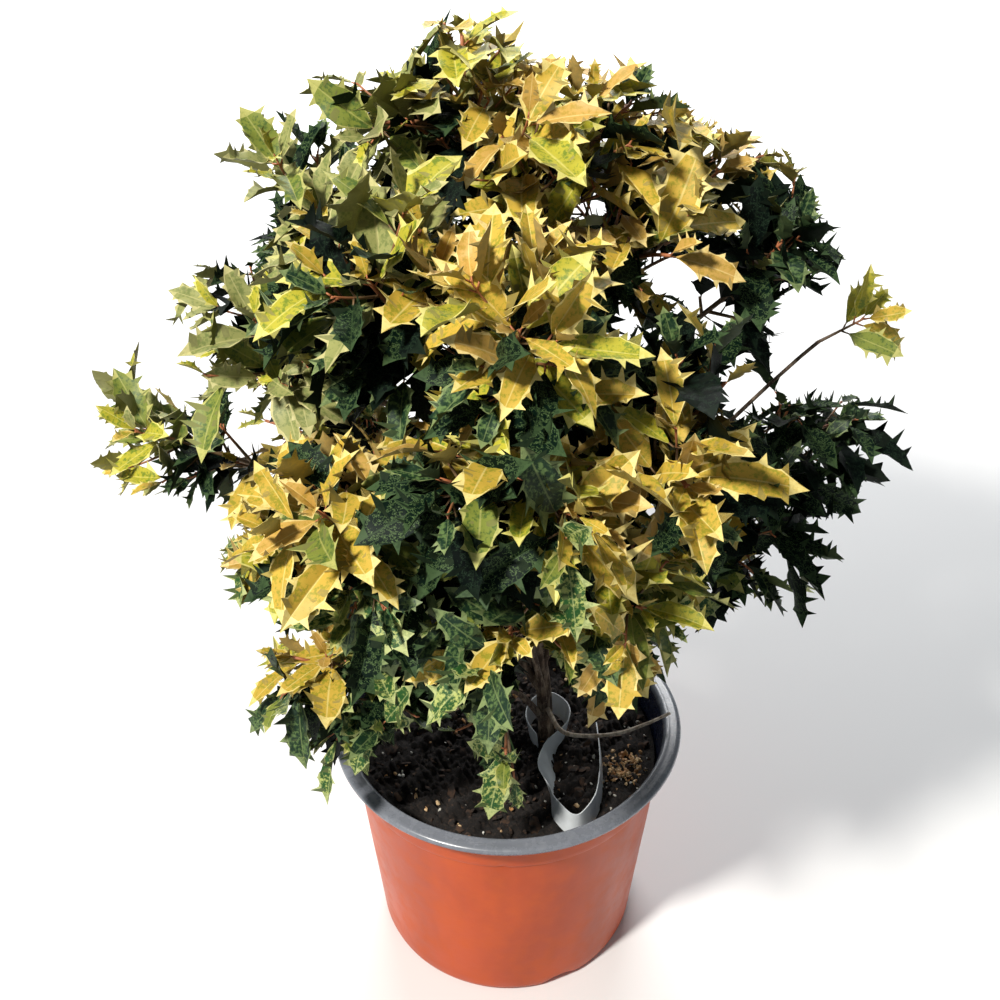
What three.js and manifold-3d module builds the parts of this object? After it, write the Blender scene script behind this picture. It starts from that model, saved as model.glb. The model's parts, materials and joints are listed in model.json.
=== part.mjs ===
// Tricolor holly osmanthus (Osmanthus heterophyllus, variegated) in a round nursery pot.
// Units are millimetres, +Z is up. The origin is the centre of the pot's flat underside, and the plant's front
// faces -Y. The shrub has one short trunk that runs on as a leader, tapering boughs that leave it or each other,
// and one mass of leafy twigs at the end of each bough.
import * as THREE from "three";
import { mergeVertices } from "three/addons/utils/BufferGeometryUtils.js";
import Module from "manifold-3d";

const wasm = await Module();
wasm.setup();

// Driving dimensions of the pot
const RIM_RADIUS = 130;
const LIP_INNER_RADIUS = 119;
const LIP_HEIGHT = 5;
const LIP_ROUNDING = 2;
const POT_HEIGHT = 196;
const BASE_RADIUS = 102.5;
const TOP_RADIUS = 118;
const SHOULDER_HEIGHT = 163;
const SHOULDER_STEP = 1.2;
const WALL = 2.4;
const FLOOR = 3;
const BASE_ROUNDING = 7;
const SOIL_LEVEL = 166;
const SOIL_ROOM = 0.9;
const POT_SIDES = 28;

// Driving dimensions of the wood
const GAP = 0.3;
const TRUNK_RADIUS = 6.4;
const FLARE_RADIUS = 9.6;
const FLARE_HEIGHT = 22;
const TRUNK_TIP_RADIUS = 2.2;
const BOUGH_TIP_RADIUS = 1.5;
const BOUGH_THICKENING = 0.011;
const BOUGH_STEP = 42;
const STEM_RADIUS = 2.7;
const TWIG_RADIUS = 2;
const TWIG_TAPER = 0.25;
const LIMB_SIDES = 5;
const TWIG_SIDES = 3;

// Driving dimensions of the foliage. The solid leaves are fewer and larger than the real ones.
const LEAF_LENGTH = 66;
const LEAF_WIDTH = 31;
const LEAF_THICKNESS = 1.8;
const LEAF_NEAR_SHARE = 0.33;
const LEAF_NEAR_WIDTH = 0.85;
const LEAF_FAR_SHARE = 0.62;
const LEAF_DROOP = 0.12;
const LEAF_SCALES = [1, 0.84, 0.7, 0.58];
const LEAF_SWINGS = [0, 30, -30];
const LEAF_ANGLE = 64;
const END_LEAF_ANGLE = 46;
const LEAF_ROOM = 9.5;
const LEAF_STAGGER = 3;
const TWIG_STAGGER = 4;
const SMALLEST_EDGE = 0.4;
const FIRST_SEED = 14;
const SEED_STEP = 37;
const TWIG_TESTS = [0.2, 0.3, 0.4, 0.5, 0.6, 0.7, 0.8, 0.9, 1];
const MAIN_LEAVES = [0.98, 0.76, 0.4, 0.15];
const SIDE_LEAVES = [0.96, 0.55];
const SIDE_NODES = [0.56, 0.26];
const SIDE_ANGLE = 54;
const SIDE_LENGTH = 42;
const SIDE_SCALES = [1, 0.75, 0.5];
const SIDE_LIFT = 0.12;
const FORK_SHARE = 0.22;
const MASS_DEPTH = 96;
const MASS_RADIUS = 88;
const CELL_MARGIN = 0.5;
const LIMB_MARGIN = 3.2;
const POT_MARGIN = 4;
const LOWEST_LEAF = POT_HEIGHT + 4;

const colours = {
  terracotta: new THREE.MeshStandardMaterial({ color: 0xc8552f, roughness: 0.5, metalness: 0 }),
  soil: new THREE.MeshStandardMaterial({ color: 0x1d1713, roughness: 0.95, metalness: 0 }),
  label: new THREE.MeshStandardMaterial({ color: 0xd9dde0, roughness: 0.45, metalness: 0 }),
  bark: new THREE.MeshStandardMaterial({ color: 0x6b5442, roughness: 0.85, metalness: 0 }),
  gold: new THREE.MeshStandardMaterial({ color: 0xc9ab3a, roughness: 0.4, metalness: 0 }),
  lime: new THREE.MeshStandardMaterial({ color: 0x9aa544, roughness: 0.4, metalness: 0 }),
  green: new THREE.MeshStandardMaterial({ color: 0x27452a, roughness: 0.35, metalness: 0 }),
};

// The masses of foliage. Each lead is where a main shoot ends: its azimuth in degrees round the pot's axis
// (0 is +X, -90 the front), its reach from that axis and its height above the ground. from says which limb carries
// the bough and how far along it, as a share of that limb's length.
const MASSES = [
  { name: "top_left", from: ["trunk", 1], tint: "lime", radius: 80, leads: [[180, 26, 690], [186, 72, 646]] },
  { name: "top", from: ["trunk", 0.885], tint: "gold", leads: [[-96, 50, 652], [-10, 66, 658]] },
  { name: "left_upper", from: ["trunk", 0.755], tint: "lime", leads: [[178, 128, 608]] },
  { name: "left", from: ["trunk", 0.615], tint: "lime", leads: [[182, 170, 574], [210, 160, 524]] },
  { name: "far_left", from: ["trunk", 0.275], tint: "lime", leads: [[186, 228, 462]] },
  { name: "left_low", from: ["trunk", 0.14], tint: "lime", leads: [[190, 158, 388]] },
  { name: "low_left", from: ["left_low", 0.35], tint: "green", leads: [[207, 158, 318], [226, 134, 282]] },
  { name: "front_low", from: ["trunk", 0.06], tint: "green", leads: [[-91, 104, 262]] },
  { name: "low_right", from: ["trunk", 0.1], tint: "green", leads: [[-52, 98, 348]] },
  { name: "right_low", from: ["trunk", 0.205], tint: "green", leads: [[-4, 180, 382]] },
  { name: "right", from: ["trunk", 0.345], tint: "green", leads: [[2, 214, 450]] },
  { name: "right_upper", from: ["trunk", 0.58], tint: "green", leads: [[4, 174, 574]] },
  { name: "whip", from: ["right", 0.5], tint: "lime", depth: 30, radius: 50, leads: [[-1, 214, 528]] },
  { name: "right_top", from: ["trunk", 0.685], tint: "green", leads: [[22, 134, 610]] },
  { name: "top_right", from: ["trunk", 0.79], tint: "gold", leads: [[-36, 106, 592], [26, 78, 650]] },
  { name: "centre_left", from: ["trunk", 0.72], tint: "lime", leads: [[240, 140, 604]] },
  { name: "centre", from: ["trunk", 0.65], tint: "gold", leads: [[-89, 165, 598]] },
  { name: "front_middle", from: ["trunk", 0.475], tint: "gold", leads: [[-81, 194, 514], [-100, 194, 534]] },
  { name: "centre_right", from: ["trunk", 0.51], tint: "gold", leads: [[-63, 190, 516], [-46, 160, 545]] },
  { name: "right_front", from: ["trunk", 0.38], tint: "gold", leads: [[-68, 184, 440]] },
  { name: "left_front", from: ["trunk", 0.43], tint: "gold", leads: [[240, 194, 500], [244, 190, 452]] },
  { name: "centre_low", from: ["trunk", 0.31], tint: "gold", leads: [[-90, 188, 436]] },
  { name: "back_top", from: ["trunk", 0.84], tint: "green", leads: [[95, 100, 616]] },
  { name: "back_left", from: ["trunk", 0.455], tint: "green", leads: [[142, 196, 530], [112, 190, 510]] },
  { name: "back_right", from: ["trunk", 0.545], tint: "green", leads: [[46, 196, 516], [76, 190, 534]] },
  { name: "back", from: ["trunk", 0.4], tint: "green", leads: [[94, 206, 440]] },
  { name: "back_low_left", from: ["trunk", 0.175], tint: "green", leads: [[152, 200, 400], [122, 196, 366]] },
  { name: "back_low_right", from: ["trunk", 0.24], tint: "green", leads: [[34, 196, 384], [64, 200, 396]] },
];
// These masses grow straight from the trunk, with no bough of their own.
const ON_TRUNK = ["top_left"];

// A seeded stream of numbers from 0 to 1, so that every build grows the same plant.
function stream(seed) {
  let state = seed >>> 0;
  const next = () => {
    state = (Math.imul(state, 1664525) + 1013904223) >>> 0;
    return state / 4294967296;
  };
  for (let i = 0; i < 4; i++) next();
  return next;
}

const vec = (x, y, z) => new THREE.Vector3(x, y, z);
const along = (p, dir, length) => p.clone().addScaledVector(dir, length);
const UP = vec(0, 0, 1);

// Turns a geometry into a solid, from its positions alone.
function solid(geometry) {
  const bare = geometry.clone();
  for (const name of ["normal", "uv"]) bare.deleteAttribute(name);
  const merged = mergeVertices(bare, 1e-4);
  return new wasm.Manifold(
    new wasm.Mesh({
      numProp: 3,
      vertProperties: new Float32Array(merged.attributes.position.array),
      triVerts: new Uint32Array(merged.index.array),
    }),
  );
}

// The largest single body of a solid. Loose scraps are dropped and sealed hollows are filled.
function mainBody(manifold) {
  return manifold.decompose().reduce((a, b) => (b.volume() > a.volume() ? b : a));
}

function geometryOf(manifold) {
  const mesh = manifold.getMesh();
  const geometry = new THREE.BufferGeometry();
  geometry.setAttribute("position", new THREE.BufferAttribute(new Float32Array(mesh.vertProperties), 3));
  geometry.setIndex(new THREE.BufferAttribute(new Uint32Array(mesh.triVerts), 1));
  geometry.computeVertexNormals();
  return geometry;
}

// A cylinder bent along a curve, with its own radius at each step.
function limbGeometry(curve, radiusAt, sides, steps) {
  const geometry = new THREE.CylinderGeometry(1, 1, 1, sides, steps);
  const frames = [];
  let side = Math.abs(curve.getTangent(0).z) > 0.9 ? vec(1, 0, 0) : UP.clone();
  for (let i = 0; i <= steps; i++) {
    const t = i / steps;
    const tangent = curve.getTangent(t);
    side = side.addScaledVector(tangent, -side.dot(tangent)).normalize();
    frames.push({ point: curve.getPoint(t), radius: radiusAt(t), side, other: side.clone().cross(tangent) });
    side = side.clone();
  }
  const position = geometry.attributes.position;
  for (let i = 0; i < position.count; i++) {
    const frame = frames[Math.round((position.getY(i) + 0.5) * steps)];
    const p = frame.point.clone();
    p.addScaledVector(frame.side, position.getX(i) * frame.radius);
    p.addScaledVector(frame.other, position.getZ(i) * frame.radius);
    position.setXYZ(i, p.x, p.y, p.z);
  }
  return geometry;
}

// The pot's outer radius at a height: a plain taper from foot to lip.
const potRadius = (z) => BASE_RADIUS + ((TOP_RADIUS - BASE_RADIUS) * z) / (POT_HEIGHT - LIP_HEIGHT);

// A round thin-walled pot with a rounded foot, a shoulder line under the rim and a wide flat lip.
function potGeometry() {
  const lipFoot = POT_HEIGHT - LIP_HEIGHT;
  const profile = [[0, 0], [BASE_RADIUS - BASE_ROUNDING, 0]];
  for (const a of [Math.PI / 6, Math.PI / 3, Math.PI / 2]) {
    const z = BASE_ROUNDING * (1 - Math.cos(a));
    profile.push([potRadius(z) - BASE_ROUNDING * (1 - Math.sin(a)), z]);
  }
  profile.push([potRadius(SHOULDER_HEIGHT), SHOULDER_HEIGHT]);
  profile.push([potRadius(SHOULDER_HEIGHT) + SHOULDER_STEP, SHOULDER_HEIGHT + SHOULDER_STEP]);
  profile.push([potRadius(lipFoot) + SHOULDER_STEP, lipFoot], [RIM_RADIUS - LIP_ROUNDING, lipFoot]);
  profile.push([RIM_RADIUS, POT_HEIGHT - LIP_ROUNDING], [RIM_RADIUS - LIP_ROUNDING, POT_HEIGHT]);
  profile.push([LIP_INNER_RADIUS, POT_HEIGHT], [potRadius(lipFoot) - WALL, lipFoot]);
  profile.push([potRadius(BASE_ROUNDING) - WALL, BASE_ROUNDING], [BASE_RADIUS - BASE_ROUNDING, FLOOR], [0, FLOOR]);
  const points = profile.map(([radius, z]) => new THREE.Vector2(radius, z));
  return new THREE.LatheGeometry(points, POT_SIDES).rotateX(Math.PI / 2);
}

// The root ball of potting mix fills the pot to a little under the rim, with a hair of room at the wall.
function soilGeometry() {
  const foot = FLOOR + GAP;
  const radiusAt = (z) => potRadius(z) - WALL - SOIL_ROOM;
  const profile = [[0, foot], [BASE_RADIUS - BASE_ROUNDING - SOIL_ROOM, foot]];
  profile.push([radiusAt(BASE_ROUNDING), BASE_ROUNDING + GAP], [radiusAt(SOIL_LEVEL), SOIL_LEVEL], [0, SOIL_LEVEL]);
  const points = profile.map(([radius, z]) => new THREE.Vector2(radius, z));
  return new THREE.LatheGeometry(points, POT_SIDES).rotateX(Math.PI / 2);
}

// A blank plastic label strip, on edge on the soil: a loop round the trunk's foot, and a tail that runs to the
// front of the pot, turns and comes back.
const LABEL_HEIGHT = 13;
const LABEL_THICKNESS = 0.8;
const LABEL_LOOP_RADIUS = 14;
function labelGeometry(centre) {
  const centreline = [];
  const loopSteps = 12;
  for (let i = 1; i < loopSteps; i++) {
    const a = -Math.PI / 2 - (i / loopSteps) * Math.PI * 2;
    centreline.push([centre.x + LABEL_LOOP_RADIUS * Math.cos(a), centre.y + LABEL_LOOP_RADIUS * Math.sin(a)]);
  }
  const tail = new THREE.CatmullRomCurve3([
    vec(centre.x + 5, centre.y - 18, 0),
    vec(37, -48, 0),
    vec(38, -76, 0),
    vec(52, -90, 0),
    vec(68, -74, 0),
    vec(75, -38, 0),
    vec(72, 2, 0),
  ]);
  for (const p of tail.getPoints(13)) centreline.push([p.x, p.y]);
  const left = [];
  const right = [];
  centreline.forEach(([x, y], i) => {
    const a = centreline[Math.max(i - 1, 0)];
    const b = centreline[Math.min(i + 1, centreline.length - 1)];
    const length = Math.hypot(b[0] - a[0], b[1] - a[1]);
    const nx = (-(b[1] - a[1]) / length) * (LABEL_THICKNESS / 2);
    const ny = ((b[0] - a[0]) / length) * (LABEL_THICKNESS / 2);
    left.push(new THREE.Vector2(x + nx, y + ny));
    right.unshift(new THREE.Vector2(x - nx, y - ny));
  });
  const shape = new THREE.Shape([...left, ...right]);
  const geometry = new THREE.ExtrudeGeometry(shape, { depth: LABEL_HEIGHT, bevelEnabled: false });
  return geometry.translate(0, 0, SOIL_LEVEL + GAP);
}

// The trunk's curve starts a little below the soil, so that its solid can be cut off flat at the ground.
const TRUNK_SINK = 6;
const TRUNK_TOP = 600;
// The trunk leans from the right of the pot towards the middle of the crown, and ends as its leader.
const trunkCurve = new THREE.CatmullRomCurve3([
  vec(31, 4, SOIL_LEVEL - TRUNK_SINK),
  vec(25, 6, 240),
  vec(10, 8, 350),
  vec(-4, 6, 460),
  vec(-13, 4, 540),
  vec(-19, 3, TRUNK_TOP),
]);
const trunkRadius = (t) => {
  const height = t * (TRUNK_TOP - SOIL_LEVEL);
  const flare = (FLARE_RADIUS - TRUNK_RADIUS) * Math.exp((-height * 3) / FLARE_HEIGHT);
  return TRUNK_RADIUS + (TRUNK_TIP_RADIUS - TRUNK_RADIUS) * Math.pow(t, 0.8) + flare;
};

const limbs = new Map();
limbs.set("trunk", { curve: trunkCurve, radiusAt: trunkRadius, sides: 8, steps: 9 });

const leadPoint = ([azimuth, reach, height]) => {
  const a = THREE.MathUtils.degToRad(azimuth);
  return vec(reach * Math.cos(a), reach * Math.sin(a), height);
};

// The line on which a mass grows: out from the crown's axis, and upwards.
const AXIS_FOOT = 230;
const AXIS_SHARE = 0.55;
const DEPTH_SHARE = 0.6;
const CENTRE_SHARE = 0.42;
for (const mass of MASSES) {
  mass.tips = mass.leads.map(leadPoint);
  mass.radius = mass.radius ?? MASS_RADIUS;
  const middle = mass.tips.reduce((a, b) => a.clone().add(b)).divideScalar(mass.tips.length);
  const hub = vec(0, 0, AXIS_FOOT + AXIS_SHARE * (middle.z - AXIS_FOOT));
  const depth = mass.depth ?? Math.min(MASS_DEPTH, DEPTH_SHARE * middle.distanceTo(hub));
  mass.outward = middle.clone().sub(hub).normalize();
  mass.entry = along(middle, mass.outward, -depth);
  if (ON_TRUNK.includes(mass.name)) {
    mass.entry = trunkCurve.getPoint(1);
    mass.outward = trunkCurve.getTangent(1);
  }
  mass.centre = middle.clone().lerp(mass.entry, CENTRE_SHARE);
}

// A bough is one tapering limb from its parent to the entry of its mass.
function growBough(mass) {
  const [parentName, share] = mass.from;
  const parent = limbs.get(parentName);
  const start = parent.curve.getPoint(share);
  const reach = start.distanceTo(mass.entry);
  const heading = mass.entry.clone().sub(start).normalize();
  const leave = heading.clone().addScaledVector(parent.curve.getTangent(share), 0.35).normalize();
  const curve = new THREE.CubicBezierCurve3(
    start,
    along(start, leave, reach * 0.35),
    along(mass.entry, mass.outward, -reach * 0.3),
    mass.entry,
  );
  const rootRadius = Math.min(BOUGH_TIP_RADIUS + reach * BOUGH_THICKENING, parent.radiusAt(share) * 0.8);
  const radiusAt = (t) => rootRadius + (BOUGH_TIP_RADIUS - rootRadius) * t;
  return { curve, radiusAt, sides: LIMB_SIDES, steps: Math.max(3, Math.round(reach / BOUGH_STEP)) };
}

const pending = MASSES.filter((mass) => !ON_TRUNK.includes(mass.name));
while (pending.length) {
  const next = pending.findIndex((mass) => limbs.has(mass.from[0]));
  const [mass] = pending.splice(next, 1);
  limbs.set(mass.name, growBough(mass));
}

// A limb that leaves another is cut back from it, so that it seats on its bark with the gap between solids.
const limbSolids = new Map();
for (const [name, limb] of limbs) {
  let body = solid(limbGeometry(limb.curve, limb.radiusAt, limb.sides, limb.steps));
  if (name === "trunk") {
    body = body.trimByPlane([0, 0, 1], SOIL_LEVEL + GAP);
  } else {
    const parent = limbs.get(MASSES.find((mass) => mass.name === name).from[0]);
    const grown = limbGeometry(parent.curve, (t) => parent.radiusAt(t) + GAP, parent.sides, parent.steps);
    body = mainBody(body.subtract(solid(grown)));
  }
  limbSolids.set(name, body);
}

// Points along every limb, with the room that leaves and twigs keep from them.
const limbSamples = [...limbs.values()].flatMap((limb) => {
  const count = Math.ceil(limb.curve.getLength() / 4);
  return Array.from({ length: count + 1 }, (_, i) => ({
    point: limb.curve.getPoint(i / count),
    room: limb.radiusAt(i / count) + LIMB_MARGIN,
  }));
});
const clearOfLimbs = (p) => limbSamples.every((s) => s.point.distanceTo(p) > s.room);

// A mass keeps to the points that are nearer its own centre than any other's, within its radius and off the pot.
function inSpace(mass, p) {
  if (p.distanceTo(mass.centre) > mass.radius) return false;
  if (p.z < LOWEST_LEAF && Math.hypot(p.x, p.y) < RIM_RADIUS + POT_MARGIN) return false;
  return MASSES.every((other) => {
    if (other === mass) return true;
    const apart = other.centre.clone().sub(mass.centre);
    return p.clone().sub(mass.centre).dot(apart) / apart.length() < apart.length() / 2 - CELL_MARGIN;
  });
}

// A point of a leaf's blade: its share of the length, its offset as a share of half the width, and its level, which
// is 1 on the upper face and -1 on the lower one. The tip bends down.
function bladePoint(leaf, share, across, level) {
  const side = leaf.face.clone().cross(leaf.direction).normalize();
  const half = (LEAF_WIDTH * leaf.length) / LEAF_LENGTH / 2;
  const up = (level * LEAF_THICKNESS) / 2 - LEAF_DROOP * leaf.length * share * share;
  const p = along(leaf.base, leaf.direction, leaf.length * share);
  return along(along(p, side, across * half), leaf.face, up);
}

// A leaf is an octahedron flattened between two opposite faces, so that its outline has six corners: the root, the
// tip and two on each side. Each pair of opposite corners has one on the upper face and one on the lower face.
function leafCorners(leaf) {
  return [
    [bladePoint(leaf, 0, 0, 1), bladePoint(leaf, 1, 0, -1)],
    [bladePoint(leaf, LEAF_FAR_SHARE, -1, 1), bladePoint(leaf, LEAF_NEAR_SHARE, LEAF_NEAR_WIDTH, -1)],
    [bladePoint(leaf, LEAF_FAR_SHARE, 1, 1), bladePoint(leaf, LEAF_NEAR_SHARE, -LEAF_NEAR_WIDTH, -1)],
  ];
}

function leafGeometry(leaf) {
  const corners = leafCorners(leaf);
  const geometry = new THREE.OctahedronGeometry(1, 0);
  const position = geometry.attributes.position;
  for (let i = 0; i < position.count; i++) {
    const values = [position.getX(i), position.getY(i), position.getZ(i)];
    const axis = values.findIndex((value) => Math.abs(value) > 0.5);
    const corner = corners[axis][values[axis] > 0 ? 0 : 1];
    position.setXYZ(i, corner.x, corner.y, corner.z);
  }
  return geometry;
}

// Points all over a leaf's blade, in rows across it, that stand for it when it is tested against what is near.
function bladeSamples(leaf, rows, columns) {
  const points = [];
  for (let row = 1; row <= rows; row++) {
    const share = row / rows;
    const near = (share / LEAF_NEAR_SHARE) * LEAF_NEAR_WIDTH;
    const far = (1 - share) / (1 - LEAF_FAR_SHARE);
    const width = Math.min(near, far, 1);
    for (let column = -columns; column <= columns; column++) {
      points.push(bladePoint(leaf, share, (width * column) / columns, 0));
    }
  }
  return points;
}

// The way a leaf looks: square to its own length, turned to the light as far as that allows.
function faceTo(direction, shoot) {
  const wish = along(shoot, UP, 0.8);
  return wish.addScaledVector(direction, -wish.dot(direction)).normalize();
}

function headingFrom(tangent, turn, angle) {
  const across = tangent.clone().cross(vec(0.31, 0.17, 0.93)).normalize();
  across.applyAxisAngle(tangent, THREE.MathUtils.degToRad(turn));
  const spread = THREE.MathUtils.degToRad(angle);
  return tangent.clone().multiplyScalar(Math.cos(spread)).addScaledVector(across, Math.sin(spread));
}

// The rule by which a mass grows: a stem to the first lead, a fork to each other lead, and opposite side twigs at
// nodes along each, turned a quarter round from node to node. A twig that doesn't fit is tried shorter, then left out.
function growTwigs(mass, next) {
  const twigs = [];
  mass.tips.forEach((tip, i) => {
    const start = i === 0 ? along(mass.entry, mass.outward, GAP) : twigs[0].curve.getPoint(FORK_SHARE);
    const reach = start.distanceTo(tip);
    const curve = new THREE.QuadraticBezierCurve3(start, along(start, mass.outward, reach * 0.5), tip.clone());
    twigs.push({ curve, radius: STEM_RADIUS, main: true });
  });
  for (const lead of [...twigs]) {
    let turn = next() * 360;
    for (const share of SIDE_NODES.slice(mass.tips.length - 1)) {
      const tangent = lead.curve.getTangent(share);
      for (const half of [0, 180]) {
        const start = along(lead.curve.getPoint(share), tangent, half ? -TWIG_STAGGER : 0);
        const heading = headingFrom(tangent, turn + half, SIDE_ANGLE + 14 * (next() - 0.5));
        const length = SIDE_LENGTH * (0.85 + 0.3 * next());
        for (const scale of SIDE_SCALES) {
          const end = along(along(start, heading, length * scale), UP, length * scale * SIDE_LIFT);
          const curve = new THREE.LineCurve3(start, end);
          const points = TWIG_TESTS.map((t) => curve.getPoint(t));
          if (points.every((p) => inSpace(mass, p) && clearOfLimbs(p))) {
            twigs.push({ curve, radius: TWIG_RADIUS, main: false });
            break;
          }
        }
      }
      turn += 90 + 20 * (next() - 0.5);
    }
  }
  return twigs;
}

const fits = (mass, leaf) =>
  leafCorners(leaf).flat().every((p) => inSpace(mass, p)) && bladeSamples(leaf, 12, 3).every(clearOfLimbs);

// Opposite leaves at nodes along each twig, crosswise from node to node. A leaf that would leave its mass's space,
// touch a limb or cross a leaf or twig already there is tried shorter and turned a little, then left out.
function growLeaves(mass, twigs, next) {
  const kept = [];
  const taken = [];
  for (const twig of twigs) {
    const length = twig.curve.getLength();
    const count = Math.max(2, Math.round(length / 6));
    for (let i = 0; i <= count; i++) taken.push({ point: twig.curve.getPoint(i / count), owner: twig });
  }
  const free = (samples, twig) =>
    samples.every((p, i) => taken.every((t) => {
      const room = t.owner === twig ? (i < 3 ? 2.4 : 5) : t.leaf ? LEAF_ROOM : 5;
      return t.point.distanceTo(p) > room;
    }));
  for (const twig of [...twigs].reverse()) {
    let turn = next() * 360;
    for (const share of twig.main ? MAIN_LEAVES : SIDE_LEAVES) {
      const tangent = twig.curve.getTangent(share);
      for (const half of [0, 180]) {
        const base = along(twig.curve.getPoint(share), tangent, half ? -LEAF_STAGGER : 0);
        const angle = (share > 0.9 ? END_LEAF_ANGLE : LEAF_ANGLE) + 16 * (next() - 0.5);
        const full = LEAF_LENGTH * (0.86 + 0.28 * next());
        const trials = LEAF_SCALES.flatMap((scale) => LEAF_SWINGS.map((swing) => {
          const direction = headingFrom(tangent, turn + half + swing, angle);
          return { base, direction, face: faceTo(direction, tangent), length: full * scale };
        }));
        const leaf = trials.find((trial) => fits(mass, trial) && free(bladeSamples(trial, 5, 1), twig));
        if (!leaf) continue;
        kept.push(leaf);
        for (const point of bladeSamples(leaf, 5, 1)) taken.push({ point, owner: twig, leaf: true });
      }
      turn += 90 + 16 * (next() - 0.5);
    }
  }
  return kept;
}

function massSolid(mass, seed) {
  const next = stream(seed);
  const twigs = growTwigs(mass, next);
  const leaves = growLeaves(mass, twigs, next);
  const pieces = twigs.map((twig) => {
    const radiusAt = (t) => twig.radius * (1 - TWIG_TAPER * t);
    return solid(limbGeometry(twig.curve, radiusAt, TWIG_SIDES, twig.main ? 2 : 1));
  });
  for (const leaf of leaves) pieces.push(solid(leafGeometry(leaf)));
  return mainBody(wasm.Manifold.union(pieces)).simplify(SMALLEST_EDGE);
}

const plant = new THREE.Group();
function add(name, geometry, material) {
  const mesh = new THREE.Mesh(geometry, material);
  mesh.name = name;
  plant.add(mesh);
}

add("pot", potGeometry(), colours.terracotta);
add("soil", soilGeometry(), colours.soil);
add("stem_label", labelGeometry(trunkCurve.getPoint(0)), colours.label);
for (const [name, body] of limbSolids) {
  add(name === "trunk" ? "trunk" : `bough_${name}`, geometryOf(body), colours.bark);
}
MASSES.forEach((mass, i) => {
  const body = massSolid(mass, FIRST_SEED + SEED_STEP * i);
  add(`leaves_${mass.name}`, geometryOf(body), colours[mass.tint]);
});

export default plant;
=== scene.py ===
import json
import math
import bpy
import numpy as np
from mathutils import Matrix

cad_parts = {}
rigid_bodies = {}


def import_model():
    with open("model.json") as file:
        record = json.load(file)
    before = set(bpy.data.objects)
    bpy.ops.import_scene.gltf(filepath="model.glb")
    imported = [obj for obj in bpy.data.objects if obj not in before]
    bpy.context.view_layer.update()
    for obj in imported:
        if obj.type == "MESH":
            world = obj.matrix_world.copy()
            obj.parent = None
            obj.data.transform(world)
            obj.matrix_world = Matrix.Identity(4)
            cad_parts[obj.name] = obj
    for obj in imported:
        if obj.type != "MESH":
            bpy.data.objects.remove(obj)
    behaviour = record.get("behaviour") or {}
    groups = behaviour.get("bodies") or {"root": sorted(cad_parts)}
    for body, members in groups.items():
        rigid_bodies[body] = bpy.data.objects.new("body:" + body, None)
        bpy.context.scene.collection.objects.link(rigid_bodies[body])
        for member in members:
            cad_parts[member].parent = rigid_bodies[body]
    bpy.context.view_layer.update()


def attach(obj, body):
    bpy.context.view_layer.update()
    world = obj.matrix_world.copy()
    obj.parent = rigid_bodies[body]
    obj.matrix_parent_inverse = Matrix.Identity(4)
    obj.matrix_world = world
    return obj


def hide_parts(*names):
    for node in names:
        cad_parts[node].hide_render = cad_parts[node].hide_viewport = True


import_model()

MM = 0.001

# The camera looks down at the plant from in front, from where the photograph was taken. EYE is its place in
# millimetres and TILT its turn up from straight down in degrees. An offset that is as large as its depth
# takes up FOCAL thousandths of the picture.
EYE = np.array([-5.7, -659.0, 838.0])
TILT = 56.0
FOCAL = 1190
SENSOR = 36
camera = bpy.data.objects.new("camera", bpy.data.cameras.new("camera"))
camera.location = tuple(EYE * MM)
camera.rotation_euler = (math.radians(TILT), 0, 0)
camera.data.sensor_width = SENSOR
camera.data.lens = FOCAL * SENSOR / 1000
camera.data.clip_start = 0.01
camera.data.clip_end = 50
bpy.context.scene.collection.objects.link(camera)
bpy.context.scene.camera = camera
bpy.context.scene.view_settings.view_transform = "Standard"

# The studio: a plain pale floor, a small warm key lamp from the upper left in front, a wide lamp that keeps
# the floor behind the plant pale, and a weak bluish surround that fills the shade.
FLOOR_HALF, FLOOR_TINT = 6, (0.86, 0.86, 0.86, 1)
SURROUND_TINT, SURROUND_STRENGTH = (0.86, 0.94, 1, 1), 0.19
# A row has a lamp's name, its place and what it points at, its width, its power and its tint.
LAMPS = (
    ("key", (-0.85, -1.0, 1.8), (0.0, 0.0, 0.38), 0.22, 50, (1, 0.965, 0.9)),
    ("backdrop", (0.0, 2.9, 2.4), (0.0, 2.9, 0.38), 2.4, 150, (1, 1, 1)),
)
floor_mesh = bpy.data.meshes.new("floor")
floor_corners = [(x * FLOOR_HALF, y * FLOOR_HALF, 0) for x, y in ((-1, -1), (1, -1), (1, 1), (-1, 1))]
floor_mesh.from_pydata(floor_corners, [], [(0, 1, 2, 3)])
floor = bpy.data.objects.new("floor", floor_mesh)
bpy.context.scene.collection.objects.link(floor)
floor_skin = bpy.data.materials.new("floor")
floor_skin.use_nodes = True
floor_shader = floor_skin.node_tree.nodes["Principled BSDF"]
floor_shader.inputs["Base Color"].default_value = FLOOR_TINT
floor_shader.inputs["Roughness"].default_value = 0.9
floor_mesh.materials.append(floor_skin)
world = bpy.data.worlds.new("surround")
world.use_nodes = True
world.node_tree.nodes["Background"].inputs["Color"].default_value = SURROUND_TINT
world.node_tree.nodes["Background"].inputs["Strength"].default_value = SURROUND_STRENGTH
bpy.context.scene.world = world
for name, place, target, size, power, tint in LAMPS:
    lamp = bpy.data.lights.new(name, "AREA")
    lamp.shape = "DISK"
    lamp.size = size
    lamp.energy = power
    lamp.color = tint
    light = bpy.data.objects.new(name, lamp)
    light.location = place
    aim = np.array(target) - np.array(place)
    tipped = math.atan2(math.hypot(aim[0], aim[1]), -aim[2])
    light.rotation_euler = (tipped, 0, math.atan2(aim[1], aim[0]) - math.pi / 2)
    bpy.context.scene.collection.objects.link(light)

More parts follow.
